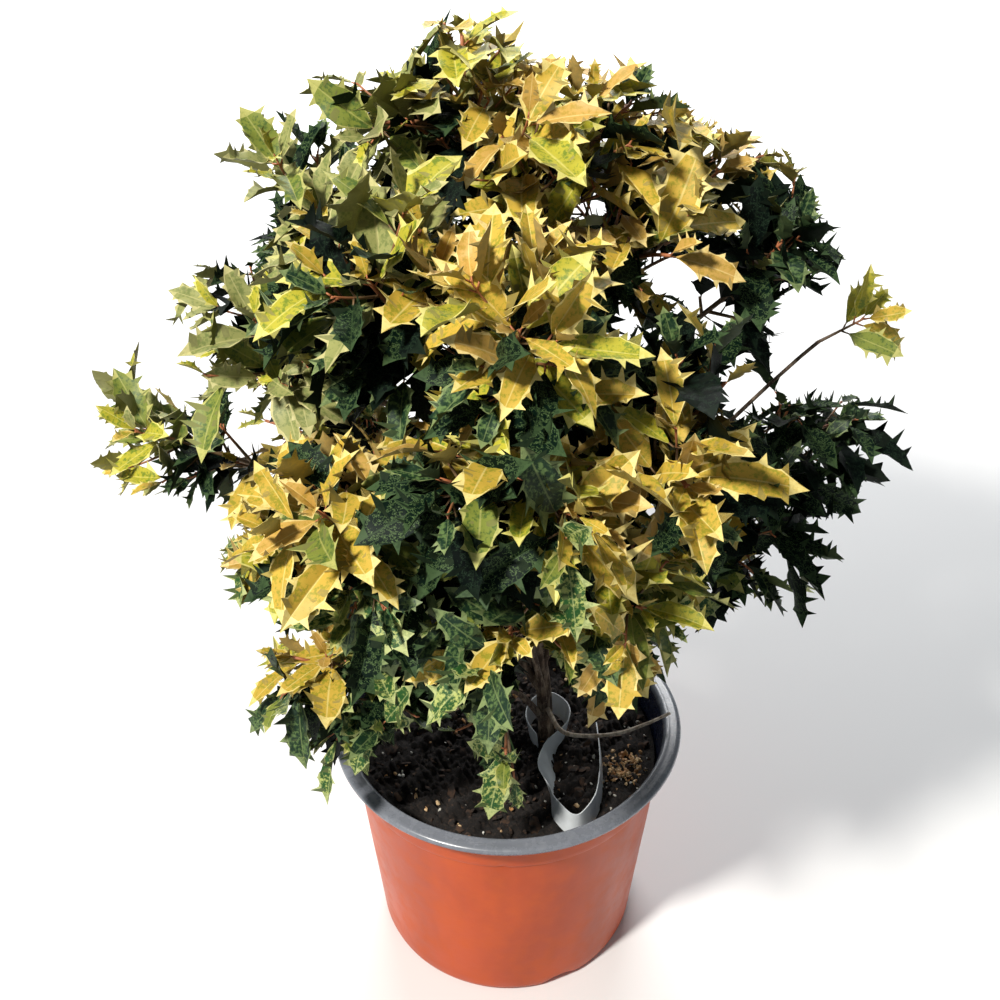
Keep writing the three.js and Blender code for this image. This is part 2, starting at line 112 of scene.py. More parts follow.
# The pot: a thin blow-moulded nursery pot of two layers of plastic, terracotta outside and blue-black
# inside. The inner layer is rolled outwards as the lip. It stands on a foot with three shallow drainage
# cuts, and has a shoulder under the lip. Angles are in degrees round the pot, with the front at 270.
POT_SIDES = 160
POT_HEIGHT = 196
FOOT_RADIUS = 102.5
WALL_TOP, WALL_TOP_RADIUS = 191, 118
SHOULDER = 164
CREASE_AT, CREASE_DEPTH = 268, 1.2
DRAIN_CUTS, DRAIN_AT, DRAIN_DEPTH = 3, 294, 5.5


class Tone:
    """A socket in a material's nodes. Its operators add Math nodes for numbers."""

    def __init__(self, tree, socket):
        self.tree = tree
        self.socket = socket

    def node(self, kind, settings=None, **inputs):
        """Adds a node: its settings are set first, then its inputs by name, or by place as _0, _1."""
        made = self.tree.nodes.new(kind)
        for key, value in (settings or {}).items():
            setattr(made, key, value)
        for key, value in inputs.items():
            name = int(key[1:]) if key[0] == "_" else key.replace("_", " ")
            if isinstance(value, Tone):
                self.tree.links.new(value.socket, made.inputs[name])
            else:
                made.inputs[name].default_value = value
        return made

    def out(self, made, name=0):
        """One output of a node, by name or place."""
        return Tone(self.tree, made.outputs[name])

    def maths(self, operation, *values):
        """A Math node on the values."""
        inputs = {f"_{i}": value for i, value in enumerate(values)}
        return self.out(self.node("ShaderNodeMath", {"operation": operation}, **inputs))

    def __add__(self, other):
        return self.maths("ADD", self, other)

    __radd__ = __add__

    def __mul__(self, other):
        return self.maths("MULTIPLY", self, other)

    __rmul__ = __mul__

    def __sub__(self, other):
        return self.maths("SUBTRACT", self, other)

    def __rsub__(self, other):
        return self.maths("SUBTRACT", other, self)

    def step(self, low, high):
        """0 below low and 1 above high, smooth between them."""
        settings = {"interpolation_type": "SMOOTHSTEP"}
        return self.out(self.node("ShaderNodeMapRange", settings, Value=self, From_Min=low, From_Max=high))

    def mix(self, first, second):
        """The colour first where this is 0 and second where it is 1: inputs 6 and 7 of a Mix node."""
        made = self.node("ShaderNodeMix", {"data_type": "RGBA"}, Factor=self, _6=first, _7=second)
        return self.out(made, 2)


def colour(red, green, blue):
    """The linear colour for red, green and blue as a screen shows them, from 0 to 255."""
    shown = np.array([red, green, blue]) / 255
    linear = np.where(shown <= 0.04045, shown / 12.92, ((shown + 0.055) / 1.055) ** 2.4)
    return (*linear.tolist(), 1.0)


def material(name, roughness, **uniform):
    """A Principled material. Returns it, its shader node and a Tone that further nodes are made from."""
    made = bpy.data.materials.new(name)
    made.use_nodes = True
    shader = made.node_tree.nodes["Principled BSDF"]
    shader.inputs["Roughness"].default_value = roughness
    for key, value in uniform.items():
        shader.inputs[key.replace("_", " ")].default_value = value
    return made, shader, Tone(made.node_tree, None)


def drive(shader, name, tone):
    """Links a Tone to one of the shader's sockets."""
    tone.tree.links.new(tone.socket, shader.inputs[name])


def noise(tone, scale, detail=2.0, rough=0.5, stretch=(1, 1, 1)):
    """Noise on Object coordinates, with scale in cycles a metre."""
    place = tone.out(tone.node("ShaderNodeTexCoord"), "Object")
    turned = tone.out(tone.node("ShaderNodeMapping", None, Vector=place, Scale=stretch))
    made = tone.node("ShaderNodeTexNoise", None, Vector=turned, Scale=scale, Detail=detail, Roughness=rough)
    return tone.out(made, "Fac")


def bump(shader, height, strength, distance):
    """Sends a height to the shader's normal, distance in metres."""
    made = height.node("ShaderNodeBump", None, Height=height, Strength=strength, Distance=distance)
    drive(shader, "Normal", height.out(made, "Normal"))


def piece(name, points, faces, materials, slots=None, uv=None, ages=None, sharp=None):
    """A mesh object at the origin from points in metres and faces of 3 to 5 corners (-1 for no corner)."""
    points = np.asarray(points, dtype=np.float32)
    faces = np.asarray(faces, dtype=np.int32)
    used = faces >= 0
    corners = faces[used]
    starts = np.concatenate([[0], np.cumsum(used.sum(axis=1))[:-1]]).astype(np.int32)
    mesh = bpy.data.meshes.new(name)
    mesh.vertices.add(len(points))
    mesh.vertices.foreach_set("co", points.ravel())
    mesh.loops.add(len(corners))
    mesh.loops.foreach_set("vertex_index", corners)
    mesh.polygons.add(len(faces))
    mesh.polygons.foreach_set("loop_start", starts)
    for each in materials:
        mesh.materials.append(each)
    if slots is not None:
        mesh.polygons.foreach_set("material_index", np.asarray(slots, dtype=np.int32))
    mesh.polygons.foreach_set("use_smooth", np.ones(len(faces), dtype=bool))
    if uv is not None:
        layer = mesh.uv_layers.new(name="leaf")
        layer.data.foreach_set("uv", np.asarray(uv, dtype=np.float32)[corners].ravel())
    if ages is not None:
        attribute = mesh.attributes.new("age", "FLOAT", "POINT")
        attribute.data.foreach_set("value", np.asarray(ages, dtype=np.float32))
    mesh.update(calc_edges=True)
    mesh.validate()
    if sharp is not None:
        mesh.set_sharp_from_angle(angle=math.radians(sharp))
    made = bpy.data.objects.new(name, mesh)
    bpy.context.scene.collection.objects.link(made)
    return made


def ring_faces(rows, columns):
    """Quads between successive rows of points that run round a closed ring, seen from outside."""
    row = np.arange(rows - 1)[:, None] * columns
    column = np.arange(columns)[None, :]
    after = (column + 1) % columns
    quads = np.stack([row + column, row + after, row + columns + after, row + columns + column], axis=-1)
    return quads.reshape(-1, 4)


def fan(centre, first, sides, below=False):
    """Triangles from a centre point to the ring of points from first on, seen from above or from below."""
    ring = first + np.arange(sides)
    after = first + (np.arange(sides) + 1) % sides
    pair = (after, ring) if below else (ring, after)
    return np.stack([np.full(sides, centre), *pair, np.full(sides, -1)], axis=-1)


def pot_radius(z):
    """Outer radius at a height: foot radius plus taper times height."""
    return FOOT_RADIUS + (WALL_TOP_RADIUS - FOOT_RADIUS) / WALL_TOP * z


# The profile's points are radius and height. It starts and ends on the axis, under and over the pot's floor.
outer = [[0, 0.0], [60, 0.0], [93, 0.0], [96, 0.0], [99.3, 0.9], [101.9, 3.2], [pot_radius(7), 7.0]]
outer += [[pot_radius(z), z] for z in np.linspace(14, 154, 21)]
outer += [[pot_radius(z), z] for z in (158, 160.5, 162.0, 162.8)]
outer += [[pot_radius(z) + step, z] for z, step in ((163.4, 0.1), (164.2, 1.1), (165, 1.3))]
outer += [[pot_radius(z) + 1.3, z] for z in (168, 173, 178, 183, 187)]
outer += [[120.0, 189.6], [121.6, 190.6], [124.5, 190.8]]
inner = [[127.4, 190.6], [129.3, 191.3], [130, 192.7], [129.9, 194.2], [129.0, 195.4], [127.3, 196.0]]
inner += [[125.2, 196.1], [123.0, 195.7], [121.6, 195.9], [120.0, 196.2], [118.6, 195.7], [117.6, 194.2]]
inner += [[117.0, 191.5]]
inner += [[pot_radius(z) - 1.4, z] for z in (186, 178, 170, 160, 140, 100, 60, 20)]
inner += [[pot_radius(7) - 2.4, 7.0], [96, 3.4], [60, 3.0], [0, 3.0]]
profile = np.array(outer + inner)
turn = np.arange(POT_SIDES) / POT_SIDES * 2 * np.pi
radius = np.repeat(profile[:, :1], POT_SIDES, axis=1)
height = np.repeat(profile[:, 1:], POT_SIDES, axis=1)
# The wall gives a little: it is slightly out of round, its lip isn't quite level, and it is creased in one
# place under the shoulder's parting line.
out_of_round = 0.8 * np.cos(2 * turn - 0.7) + 0.45 * np.cos(3 * turn + 1.1) + 0.25 * np.cos(5 * turn)
radius += out_of_round * np.clip(height / 190, 0, 1) * (radius > 50)
off = (turn - math.radians(CREASE_AT) + np.pi) % (2 * np.pi) - np.pi
crease = np.exp(-((off / 0.02) ** 2)) * np.exp(-(((height - SHOULDER) / 5) ** 2))
radius -= CREASE_DEPTH * crease * (radius > 100)
lip = 0.7 * np.cos(turn * 2 + 0.6) * np.clip((height - 150) / 46, 0, 1)
height = height + lip * (radius > 100)
half_step = np.pi / DRAIN_CUTS
cut = np.abs((turn - math.radians(DRAIN_AT) + half_step) % (2 * half_step) - half_step)
cut = np.clip(1.25 - cut / 0.13, 0, 1)
foot = np.clip((radius - 90) / 9, 0, 1) * np.clip(1 - height / 16, 0, 1)
height = height + DRAIN_DEPTH * cut * cut * (3 - 2 * cut) * foot
pot_points = np.stack([radius * np.cos(turn), radius * np.sin(turn), height], axis=-1)
pot_points = np.vstack([pot_points[1:-1].reshape(-1, 3), [[0, 0, 0], [0, 0, 3.0]]])
rings = len(profile) - 2
count = rings * POT_SIDES
pot_faces = [ring_faces(rings, POT_SIDES), fan(count, 0, POT_SIDES, True)]
pot_faces += [fan(count + 1, count - POT_SIDES, POT_SIDES)]
pot_layer = (np.arange((rings - 1) * POT_SIDES) // POT_SIDES >= len(outer) - 2).astype(int)
pot_slots = np.concatenate([pot_layer, np.zeros(POT_SIDES, dtype=int), np.ones(POT_SIDES, dtype=int)])

clay_skin, shader, tone = material("pot_outside", 0.42, Specular_IOR_Level=0.35)
dust = noise(tone, 55, 4.0, 0.6).step(0.35, 0.75)
wiped = noise(tone, 18, 3.0, 0.6, (1, 1, 0.4)).step(0.3, 0.7)
skin = wiped.mix(colour(198, 77, 22), colour(174, 64, 15))
drive(shader, "Base Color", (dust * 0.3).mix(skin, colour(212, 102, 42)))
drive(shader, "Roughness", 0.36 + dust * 0.16)
bump(shader, noise(tone, 120, 3.0), 0.12, 0.001)
dark_skin, shader, tone = material("pot_inside", 0.3, Coat_Weight=0.4, Coat_Roughness=0.2)
worn = noise(tone, 140, 4.0, 0.65).step(0.45, 0.8)
xyz = tone.node("ShaderNodeSeparateXYZ", None, Vector=tone.out(tone.node("ShaderNodeTexCoord"), "Object"))
# The top of the rolled lip is painted paler grey: a painted sheen of the glossy blue-black plastic, varied a
# little by the wear.
painted_lip_sheen = tone.out(xyz, "Z").step(0.1895, 0.1945) * (0.8 + worn * 0.2)
wall_tone = (worn * 0.25).mix(colour(36, 44, 70), colour(84, 92, 112))
drive(shader, "Base Color", painted_lip_sheen.mix(wall_tone, colour(136, 140, 148)))
drive(shader, "Roughness", 0.26 + worn * 0.2)
bump(shader, noise(tone, 260, 3.0), 0.1, 0.0006)
pot_skins = [clay_skin, dark_skin]
# The quads have four corners, so the fans' empty fourth corner is -1.
pot = piece("nursery_pot", pot_points * MM, np.vstack(pot_faces), pot_skins, slots=pot_slots, sharp=50)
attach(pot, "root")
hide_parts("pot")

# The potting mix: a rough, nearly black bark and peat mix with its surface a little under the rim, heaped
# slightly at the trunk. It is closed below, so that it is a solid lid on the root ball.
SOIL_LEVEL, SOIL_UNDERSIDE = 166, 150.0
SOIL_RINGS, SOIL_SIDES = 90, 220
TRUNK_FOOT = (31, 4)
MOUND_HEIGHT, MOUND_SPREAD = 4.0, 45


def mound(x, y):
    """The heap at the trunk: its height times e to the minus squared distance over squared spread."""
    return MOUND_HEIGHT * np.exp(-((x - TRUNK_FOOT[0]) ** 2 + (y - TRUNK_FOOT[1]) ** 2) / MOUND_SPREAD**2)


rng = np.random.default_rng(8)
share = np.linspace(1, 0, SOIL_RINGS, endpoint=False)[:, None]
around = (np.arange(SOIL_SIDES) / SOIL_SIDES * 2 * np.pi)[None, :]
wall = pot_radius(SOIL_LEVEL) - 2.6
soil_x = wall * share * np.cos(around)
soil_y = wall * share * np.sin(around)
# The lumps are waves of four sizes: waves to 260 mm and their height, nine of each in random directions.
lumps = 0.0
for waves, size in ((14, 2.4), (40, 1.5), (90, 0.9), (170, 0.5)):
    bearing = rng.uniform(0, 2 * np.pi, 9)
    shift = rng.uniform(0, 2 * np.pi, 9)
    pace = waves * 2 * np.pi / 260 * rng.uniform(0.7, 1.3, 9)
    for b, s, p in zip(bearing, shift, pace):
        lumps = lumps + size / 3 * np.sin(p * (soil_x * math.cos(b) + soil_y * math.sin(b)) + s)
loose = (lumps + rng.uniform(-0.5, 0.5, soil_x.shape)) * np.clip((1 - share) * 12, 0.25, 1)
soil_z = SOIL_LEVEL + loose + mound(soil_x, soil_y)
rim = np.stack([soil_x[0], soil_y[0], np.full(SOIL_SIDES, SOIL_UNDERSIDE)], axis=-1)
soil_points = [rim, np.stack([soil_x, soil_y, soil_z], axis=-1).reshape(-1, 3)]
soil_points += [[[0, 0, float(SOIL_LEVEL)], [0, 0, SOIL_UNDERSIDE]]]
count = (SOIL_RINGS + 1) * SOIL_SIDES
soil_faces = [ring_faces(SOIL_RINGS + 1, SOIL_SIDES), fan(count, count - SOIL_SIDES, SOIL_SIDES)]
soil_faces += [fan(count + 1, 0, SOIL_SIDES, True)]
mix_skin, shader, tone = material("potting_mix", 0.92)
crumb = noise(tone, 420, 4.0, 0.7)
damp = noise(tone, 60, 3.0)
dark_crumb = damp.mix(colour(14, 11, 10), colour(26, 20, 17))
drive(shader, "Base Color", crumb.step(0.48, 0.72).mix(dark_crumb, colour(54, 42, 34)))
bump(shader, crumb, 0.7, 0.002)
soil = piece("potting_mix", np.vstack(soil_points) * MM, np.vstack(soil_faces), [mix_skin])
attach(soil, "root")
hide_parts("soil")

# Bits in the potting mix: chips of bark, white grains of perlite and tan slow-release granules, loose on the
# surface and half sunk in it. Each bit is a small rough lump.
# A row has the name, number, size in mm, flatness, where more of them lie (x, y, spread and share), the
# light and the dark colour, and the roughness.
BITS = (
    ("bark_chips", 420, 6.5, 0.35, (), (70, 50, 36), (26, 19, 15), 0.85),
    ("perlite_grains", 150, 2.3, 0.9, ((70, -50, 26, 0.25),), (232, 230, 222), (190, 186, 176), 0.8),
    ("feed_granules", 300, 3.6, 1.0, ((88, -24, 8, 0.66), (-30, 44, 14, 0.3)),
     (232, 200, 154), (176, 126, 78), 0.5),
)
BITS_REACH = 110
# The twelve corners of a twenty-sided shape lie on three golden rectangles, and its edges are 2 long.
GOLDEN = (1 + 5**0.5) / 2
lump = np.array([[a, b * GOLDEN, 0] for a in (-1, 1) for b in (-1, 1)], dtype=float)
lump = np.vstack([lump, np.roll(lump, 1, axis=1), np.roll(lump, 2, axis=1)])
near = np.linalg.norm(lump[:, None] - lump[None], axis=-1) < 2.1
triples = [(i, j, k) for i in range(12) for j in range(i) for k in range(j)]
lump_faces = np.array([(i, j, k) for i, j, k in triples if near[i, j] and near[j, k] and near[i, k]])
first, second, third = (lump[lump_faces[:, i]] for i in range(3))
inward = (np.cross(second - first, third - first) * first).sum(axis=1) < 0
lump_faces[inward] = lump_faces[inward][:, ::-1]
lump = lump / np.linalg.norm(lump[0])


def scatter(count, size, flat, spots, seed):
    """Lumps of about size mm: each is the twenty-sided shape, uneven, stretched, turned and half sunk."""
    rng = np.random.default_rng(seed)
    reach = BITS_REACH * np.sqrt(rng.uniform(0.01, 1, count))
    angle = rng.uniform(0, 2 * np.pi, count)
    place = np.stack([reach * np.cos(angle), reach * np.sin(angle)], axis=-1)
    for x, y, spread, share in spots:
        chosen = rng.uniform(0, 1, count) < share
        place[chosen] = rng.normal((x, y), spread, (int(chosen.sum()), 2))
    far = np.hypot(place[:, 0], place[:, 1])
    place *= np.where(far > BITS_REACH, (BITS_REACH - 2) / far, 1)[:, None]
    shape = lump[None] * rng.uniform(0.7, 1.25, (count, 12, 1))
    shape = shape * rng.uniform(0.6, 1.3, (count, 1, 3)) * np.array([1.0, 1.0, flat])
    tilt = rng.normal(0, 0.45, (count, 2))
    spin = rng.uniform(0, 2 * np.pi, count)
    cos, sin = np.cos(spin)[:, None], np.sin(spin)[:, None]
    x, y, z = np.moveaxis(shape, -1, 0)
    x, y = x * cos - y * sin, x * sin + y * cos
    z = z + x * tilt[:, :1] + y * tilt[:, 1:]
    grown = size * rng.uniform(0.55, 1.3, (count, 1)) / 2
    level = SOIL_LEVEL + 0.6 + mound(place[:, 0], place[:, 1])
    points = [x * grown + place[:, :1], y * grown + place[:, 1:], z * grown + level[:, None]]
    faces = lump_faces[None] + np.arange(count)[:, None, None] * 12
    return np.stack(points, axis=-1).reshape(-1, 3), faces.reshape(-1, 3)


for index, (name, amount, size, flat, spots, light_side, dark_side, rough) in enumerate(BITS):
    skin, shader, tone = material(name, rough)
    patch = noise(tone, 190, 2.0).step(0.4, 0.6)
    drive(shader, "Base Color", patch.mix(colour(*dark_side), colour(*light_side)))
    points, faces = scatter(amount, size, flat, spots, 20 + index)
    bits = piece(name, points * MM, faces, [skin], sharp=30)
    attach(bits, "root")
    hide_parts("soil")

# The trunk: short, woody and grey-brown, with a root flare, a lean and a taper. It runs on as the leader.
# Its bark has fine upright cracks, a finer roughness and slow swellings, which are in the mesh.
TRUNK_RADIUS, TRUNK_TIP_RADIUS, TRUNK_TOP = 6.4, 2.2, 600
FLARE_RADIUS, FLARE_HEIGHT = 9.6, 22
TRUNK_ROWS, TRUNK_SIDES = 150, 34
UP = np.array([0.0, 0.0, 1.0])
SLANT = np.array([0.31, 0.17, 0.93])


def unit(v):
    """The vectors divided by their lengths."""
    return v / np.linalg.norm(v, axis=-1, keepdims=True)


class Bezier:
    """A Bezier curve of 2, 3 or 4 control points."""

    def __init__(self, *controls):
        self.controls = np.array(controls, dtype=float)

    def at(self, t):
        """Points at shares t from 0 to 1, by mixing neighbouring control points until one is left."""
        points = np.asarray(t, dtype=float)[..., None]
        rows = [np.broadcast_to(c, points.shape[:-1] + (3,)) for c in self.controls]
        while len(rows) > 1:
            rows = [a * (1 - points) + b * points for a, b in zip(rows, rows[1:])]
        return rows[0]

    def tangent(self, t):
        """Unit vectors along the curve, from two points close to each share."""
        t = np.asarray(t, dtype=float)
        return unit(self.at(np.clip(t + 1e-4, 0, 1)) - self.at(np.clip(t - 1e-4, 0, 1)))

    def length(self):
        """The sum of 200 chords."""
        return np.linalg.norm(np.diff(self.at(np.linspace(0, 1, 201)), axis=0), axis=1).sum()


class Spline(Bezier):
    """A centripetal Catmull-Rom spline through its control points."""

    def at(self, t):
        """Points at shares t: cubics with end slopes from the neighbours, weighted by root distances."""
        before = 2 * self.controls[0] - self.controls[1]
        beyond = 2 * self.controls[-1] - self.controls[-2]
        c = np.vstack([before, self.controls, beyond])
        spans = len(self.controls) - 1
        place = np.asarray(t, dtype=float) * spans
        i = np.clip(np.floor(place).astype(int), 0, spans - 1)
        w = (place - i)[..., None]
        p0, p1, p2, p3 = c[i], c[i + 1], c[i + 2], c[i + 3]
        chords = (p1 - p0, p2 - p1, p3 - p2)
        d0, d1, d2 = (np.linalg.norm(chord, axis=-1, keepdims=True) ** 0.5 for chord in chords)
        m1 = ((p1 - p0) / d0 - (p2 - p0) / (d0 + d1) + (p2 - p1) / d1) * d1
        m2 = ((p2 - p1) / d1 - (p3 - p1) / (d1 + d2) + (p3 - p2) / d2) * d1
        return p1 + m1 * w + (-3 * p1 + 3 * p2 - 2 * m1 - m2) * w**2 + (2 * p1 - 2 * p2 + m1 + m2) * w**3


def trunk_radius(t):
    """A taper along the trunk to the power 0.8, with the root flare added, which dies out up the trunk."""
    climbed = t * (TRUNK_TOP - SOIL_LEVEL)
    taper = (TRUNK_TIP_RADIUS - TRUNK_RADIUS) * t**0.8
    return TRUNK_RADIUS + taper + (FLARE_RADIUS - TRUNK_RADIUS) * np.exp(-3 * climbed / FLARE_HEIGHT)


def smooth_noise(rows, columns, cells, rng):
    """Rows by columns of smooth values from -1 to 1, which wrap round the columns: random numbers at the
    corners of a grid of cells, blended by 3 w squared minus 2 w cubed."""
    grid = rng.uniform(-1, 1, (cells[0] + 1, cells[1]))
    grid = np.column_stack([grid, grid[:, 0]])
    r = np.linspace(0, cells[0] - 1e-6, rows)
    c = np.linspace(0, cells[1], columns, endpoint=False)
    ri, ci = r.astype(int), c.astype(int)
    rf, cf = r - ri, c - ci
    rf, cf = (rf * rf * (3 - 2 * rf))[:, None], (cf * cf * (3 - 2 * cf))[None, :]
    low = grid[ri][:, ci] * (1 - cf) + grid[ri][:, ci + 1] * cf
    high = grid[ri + 1][:, ci] * (1 - cf) + grid[ri + 1][:, ci + 1] * cf
    return low * (1 - rf) + high * rf


def bark_relief(rows, sides, length, girth, rng):
    """Cracks along the wood, a finer roughness and slow swellings, as shares of the radius. The cells of the
    cracks are about 26 mm long and 2.2 mm wide."""
    long_cells = max(3, int(length / 26))
    cracks = smooth_noise(rows, sides, (long_cells, max(6, int(girth / 2.2))), rng)
    fine = smooth_noise(rows, sides, (long_cells * 5, max(8, int(girth / 1.4))), rng)
    swell = smooth_noise(rows, sides, (max(3, int(length / 40)), 3), rng)
    return -0.13 * np.clip(np.abs(cracks) * -4 + 1, 0, 1) + 0.05 * fine + 0.05 * swell


def tube(curve, radius_at, sides, rows, relief=None, first=0.0, last=1.0):
    """A closed tube along a curve between two shares: rings square to it, with relief as a share of the
    radius. Returns its points, its faces and each point's share along the curve."""
    t = np.linspace(first, last, rows)
    points, tangents = curve.at(t), curve.tangent(np.clip(t, 0, 1))
    side = unit(np.cross(tangents[0], SLANT))
    rows_of_side = []
    for tangent in tangents:
        side = unit(side - tangent * (side @ tangent))
        rows_of_side.append(side)
    side = np.array(rows_of_side)
    other = np.cross(tangents, side)
    angle = np.arange(sides) / sides * 2 * np.pi
    size = np.repeat(radius_at(t)[:, None], sides, axis=1)
    if relief is not None:
        size = size * (1 + relief)
    ring = np.cos(angle)[None, :, None] * side[:, None] + np.sin(angle)[None, :, None] * other[:, None]
    body = (points[:, None] + ring * size[:, :, None]).reshape(-1, 3)
    count = len(body)
    faces = [ring_faces(rows, sides), fan(count, 0, sides, True), fan(count + 1, count - sides, sides)]
    ages = np.concatenate([np.repeat(t, sides), [0, last]])
    return np.vstack([body, points[0], points[-1]]), np.vstack(faces), ages


TRUNK = Spline(
    (*TRUNK_FOOT, 160), (25, 6, 240), (10, 8, 350), (-4, 6, 460), (-13, 4, 540), (-19, 3, TRUNK_TOP))
bark_skin, shader, tone = material("bark", 0.82)
long_streaks = noise(tone, 260, 4.0, 0.65, (1, 1, 0.25))
patches = noise(tone, 70, 3.0, 0.6)
pores = noise(tone, 900, 2.0)
wood = patches.step(0.3, 0.7).mix(colour(112, 92, 74), colour(146, 130, 112))
wood = long_streaks.step(0.42, 0.62).mix(colour(66, 50, 38), wood)
drive(shader, "Base Color", (pores.step(0.6, 0.75) * 0.5).mix(wood, colour(176, 164, 146)))
bump(shader, long_streaks + pores * 0.3, 0.35, 0.0008)
bark_rng = np.random.default_rng(21)
relief = bark_relief(TRUNK_ROWS, TRUNK_SIDES, TRUNK.length(), 2 * np.pi * 6, bark_rng)
points, faces, _ = tube(TRUNK, trunk_radius, TRUNK_SIDES, TRUNK_ROWS, relief)
# The foot ends a little below the surface of the mix.
points[:, 2] = np.maximum(points[:, 2], SOIL_LEVEL - 4)
trunk = piece("trunk_bark", points * MM, faces, [bark_skin])
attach(trunk, "root")
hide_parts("trunk")

# The boughs: one tapering limb to each mass of foliage, with the trunk's bark and a swollen collar where it
# leaves its parent. They are the part's own curves, so that they come out where the solids are.
# A row has a mass's name, its bough's parent, the share along the parent where the bough leaves, the foliage
# that it is listed with, and its leads: bearing in degrees, reach and height of the tip of each of its stems.
MASSES = (
    ("top_left", "trunk", 1, "lime", ((180, 26, 690), (186, 72, 646))),
    ("top", "trunk", 0.885, "gold", ((-96, 50, 652), (-10, 66, 658))),
    ("left_upper", "trunk", 0.755, "lime", ((178, 128, 608),)),
    ("left", "trunk", 0.615, "lime", ((182, 170, 574), (210, 160, 524))),
    ("far_left", "trunk", 0.275, "lime", ((186, 228, 462),)),
    ("left_low", "trunk", 0.14, "lime", ((190, 158, 388),)),
    ("low_left", "left_low", 0.35, "green", ((207, 158, 318), (226, 134, 282))),
    ("front_low", "trunk", 0.06, "green", ((-91, 104, 262),)),
    ("low_right", "trunk", 0.1, "green", ((-52, 98, 348),)),
    ("right_low", "trunk", 0.205, "green", ((-4, 180, 382),)),
    ("right", "trunk", 0.345, "green", ((2, 214, 450),)),
    ("right_upper", "trunk", 0.58, "green", ((4, 174, 574),)),
    ("whip", "right", 0.5, "lime", ((-1, 214, 528),)),
    ("right_top", "trunk", 0.685, "green", ((22, 134, 610),)),
    ("top_right", "trunk", 0.79, "gold", ((-36, 106, 592), (26, 78, 650))),
    ("centre_left", "trunk", 0.72, "lime", ((240, 140, 604),)),
    ("centre", "trunk", 0.65, "gold", ((-89, 165, 598),)),
    ("front_middle", "trunk", 0.475, "gold", ((-81, 194, 514), (-100, 194, 534))),
    ("centre_right", "trunk", 0.51, "gold", ((-63, 190, 516), (-46, 160, 545))),
    ("right_front", "trunk", 0.38, "gold", ((-68, 184, 440),)),
    ("left_front", "trunk", 0.43, "gold", ((240, 194, 500), (244, 190, 452))),
    ("centre_low", "trunk", 0.31, "gold", ((-90, 188, 436),)),
    ("back_top", "trunk", 0.84, "green", ((95, 100, 616),)),
    ("back_left", "trunk", 0.455, "green", ((142, 196, 530), (112, 190, 510))),
    ("back_right", "trunk", 0.545, "green", ((46, 196, 516), (76, 190, 534))),
    ("back", "trunk", 0.4, "green", ((94, 206, 440),)),
    ("back_low_left", "trunk", 0.175, "green", ((152, 200, 400), (122, 196, 366))),
    ("back_low_right", "trunk", 0.24, "green", ((34, 196, 384), (64, 200, 396))),
)
# A mass keeps to a ball of MASS_RADIUS or a smaller one. Its bough arrives from the hub, a place on the
# pot's axis, and ends MASS_DEPTH at most before the middle of its tips. The whip is a long slim shoot that
# bows down.
MASS_RADIUS, SMALLER_MASSES = 88, {"top_left": 80, "whip": 50}
MASS_DEPTH, WHIP_DEPTH = 96, 30
WHIP_BOW, WHIP_SLIM = 20, 0.62
HUB_FOOT, HUB_CLIMB = 230, 0.55
CENTRE_SHARE = 0.42
TIP_RADIUS = 1.5
BOUGH_SIDES, BOUGH_RING_GAP = 14, 3.2
limbs = {"trunk": (TRUNK, trunk_radius)}
masses = {}
for index, (name, parent, share, tint, leads) in enumerate(MASSES):
    turns = [math.radians(bearing) for bearing, _, _ in leads]
    tips = [[reach * math.cos(a), reach * math.sin(a), z] for a, (_, reach, z) in zip(turns, leads)]
    middle = np.array(tips).mean(axis=0)
    hub = np.array([0, 0, HUB_FOOT + HUB_CLIMB * (middle[2] - HUB_FOOT)])
    outward = unit(middle - hub)
    depth = WHIP_DEPTH if name == "whip" else min(MASS_DEPTH, 0.6 * np.linalg.norm(middle - hub))
    entry = middle - depth * outward
    if name == "top_left":
        entry, outward = TRUNK.at(1.0), TRUNK.tangent(1.0)
    masses[name] = {
        "name": name, "parent": parent, "share": share, "tint": tint, "tips": np.array(tips),
        "radius": SMALLER_MASSES.get(name, MASS_RADIUS), "outward": outward, "entry": entry,
        "centre": middle + (entry - middle) * CENTRE_SHARE, "seed": 14 + 37 * index,
    }


def grow_bough(mass):
    """One limb from its parent to the entry of its mass: a cubic Bezier curve that leaves between the way to
    the entry and the parent's and arrives along the mass's, with a radius that falls evenly to that of its
    tip. The whip's is slim and bows down."""
    curve, radius_at = limbs[mass["parent"]]
    start = curve.at(mass["share"])
    reach = np.linalg.norm(mass["entry"] - start)
    leave = unit(unit(mass["entry"] - start) + 0.35 * curve.tangent(mass["share"]))
    bow = UP * (WHIP_BOW if mass["name"] == "whip" else 0)
    slim = WHIP_SLIM if mass["name"] == "whip" else 1.0
    leaving = start + leave * reach * 0.35 - bow * 0.7
    arriving = mass["entry"] - mass["outward"] * reach * 0.3 - bow
    root = min(TIP_RADIUS + reach * 0.011, radius_at(mass["share"]) * 0.8)
    bough = Bezier(start, leaving, arriving, mass["entry"])
    return bough, lambda t: slim * (root + (TIP_RADIUS - root) * t)


def joined(parts):
    """Joins (points, faces, ages) into one set of arrays."""
    offsets = np.cumsum([0] + [len(p) for p, _, _ in parts[:-1]])
    faces = [np.where(f >= 0, f + o, -1) for (_, f, _), o in zip(parts, offsets)]
    return np.vstack([p for p, _, _ in parts]), np.vstack(faces), np.concatenate([a for _, _, a in parts])


pending = [mass for mass in masses.values() if mass["name"] != "top_left"]
while pending:
    mass = next(m for m in pending if m["parent"] in limbs)
    pending.remove(mass)
    limbs[mass["name"]] = grow_bough(mass)

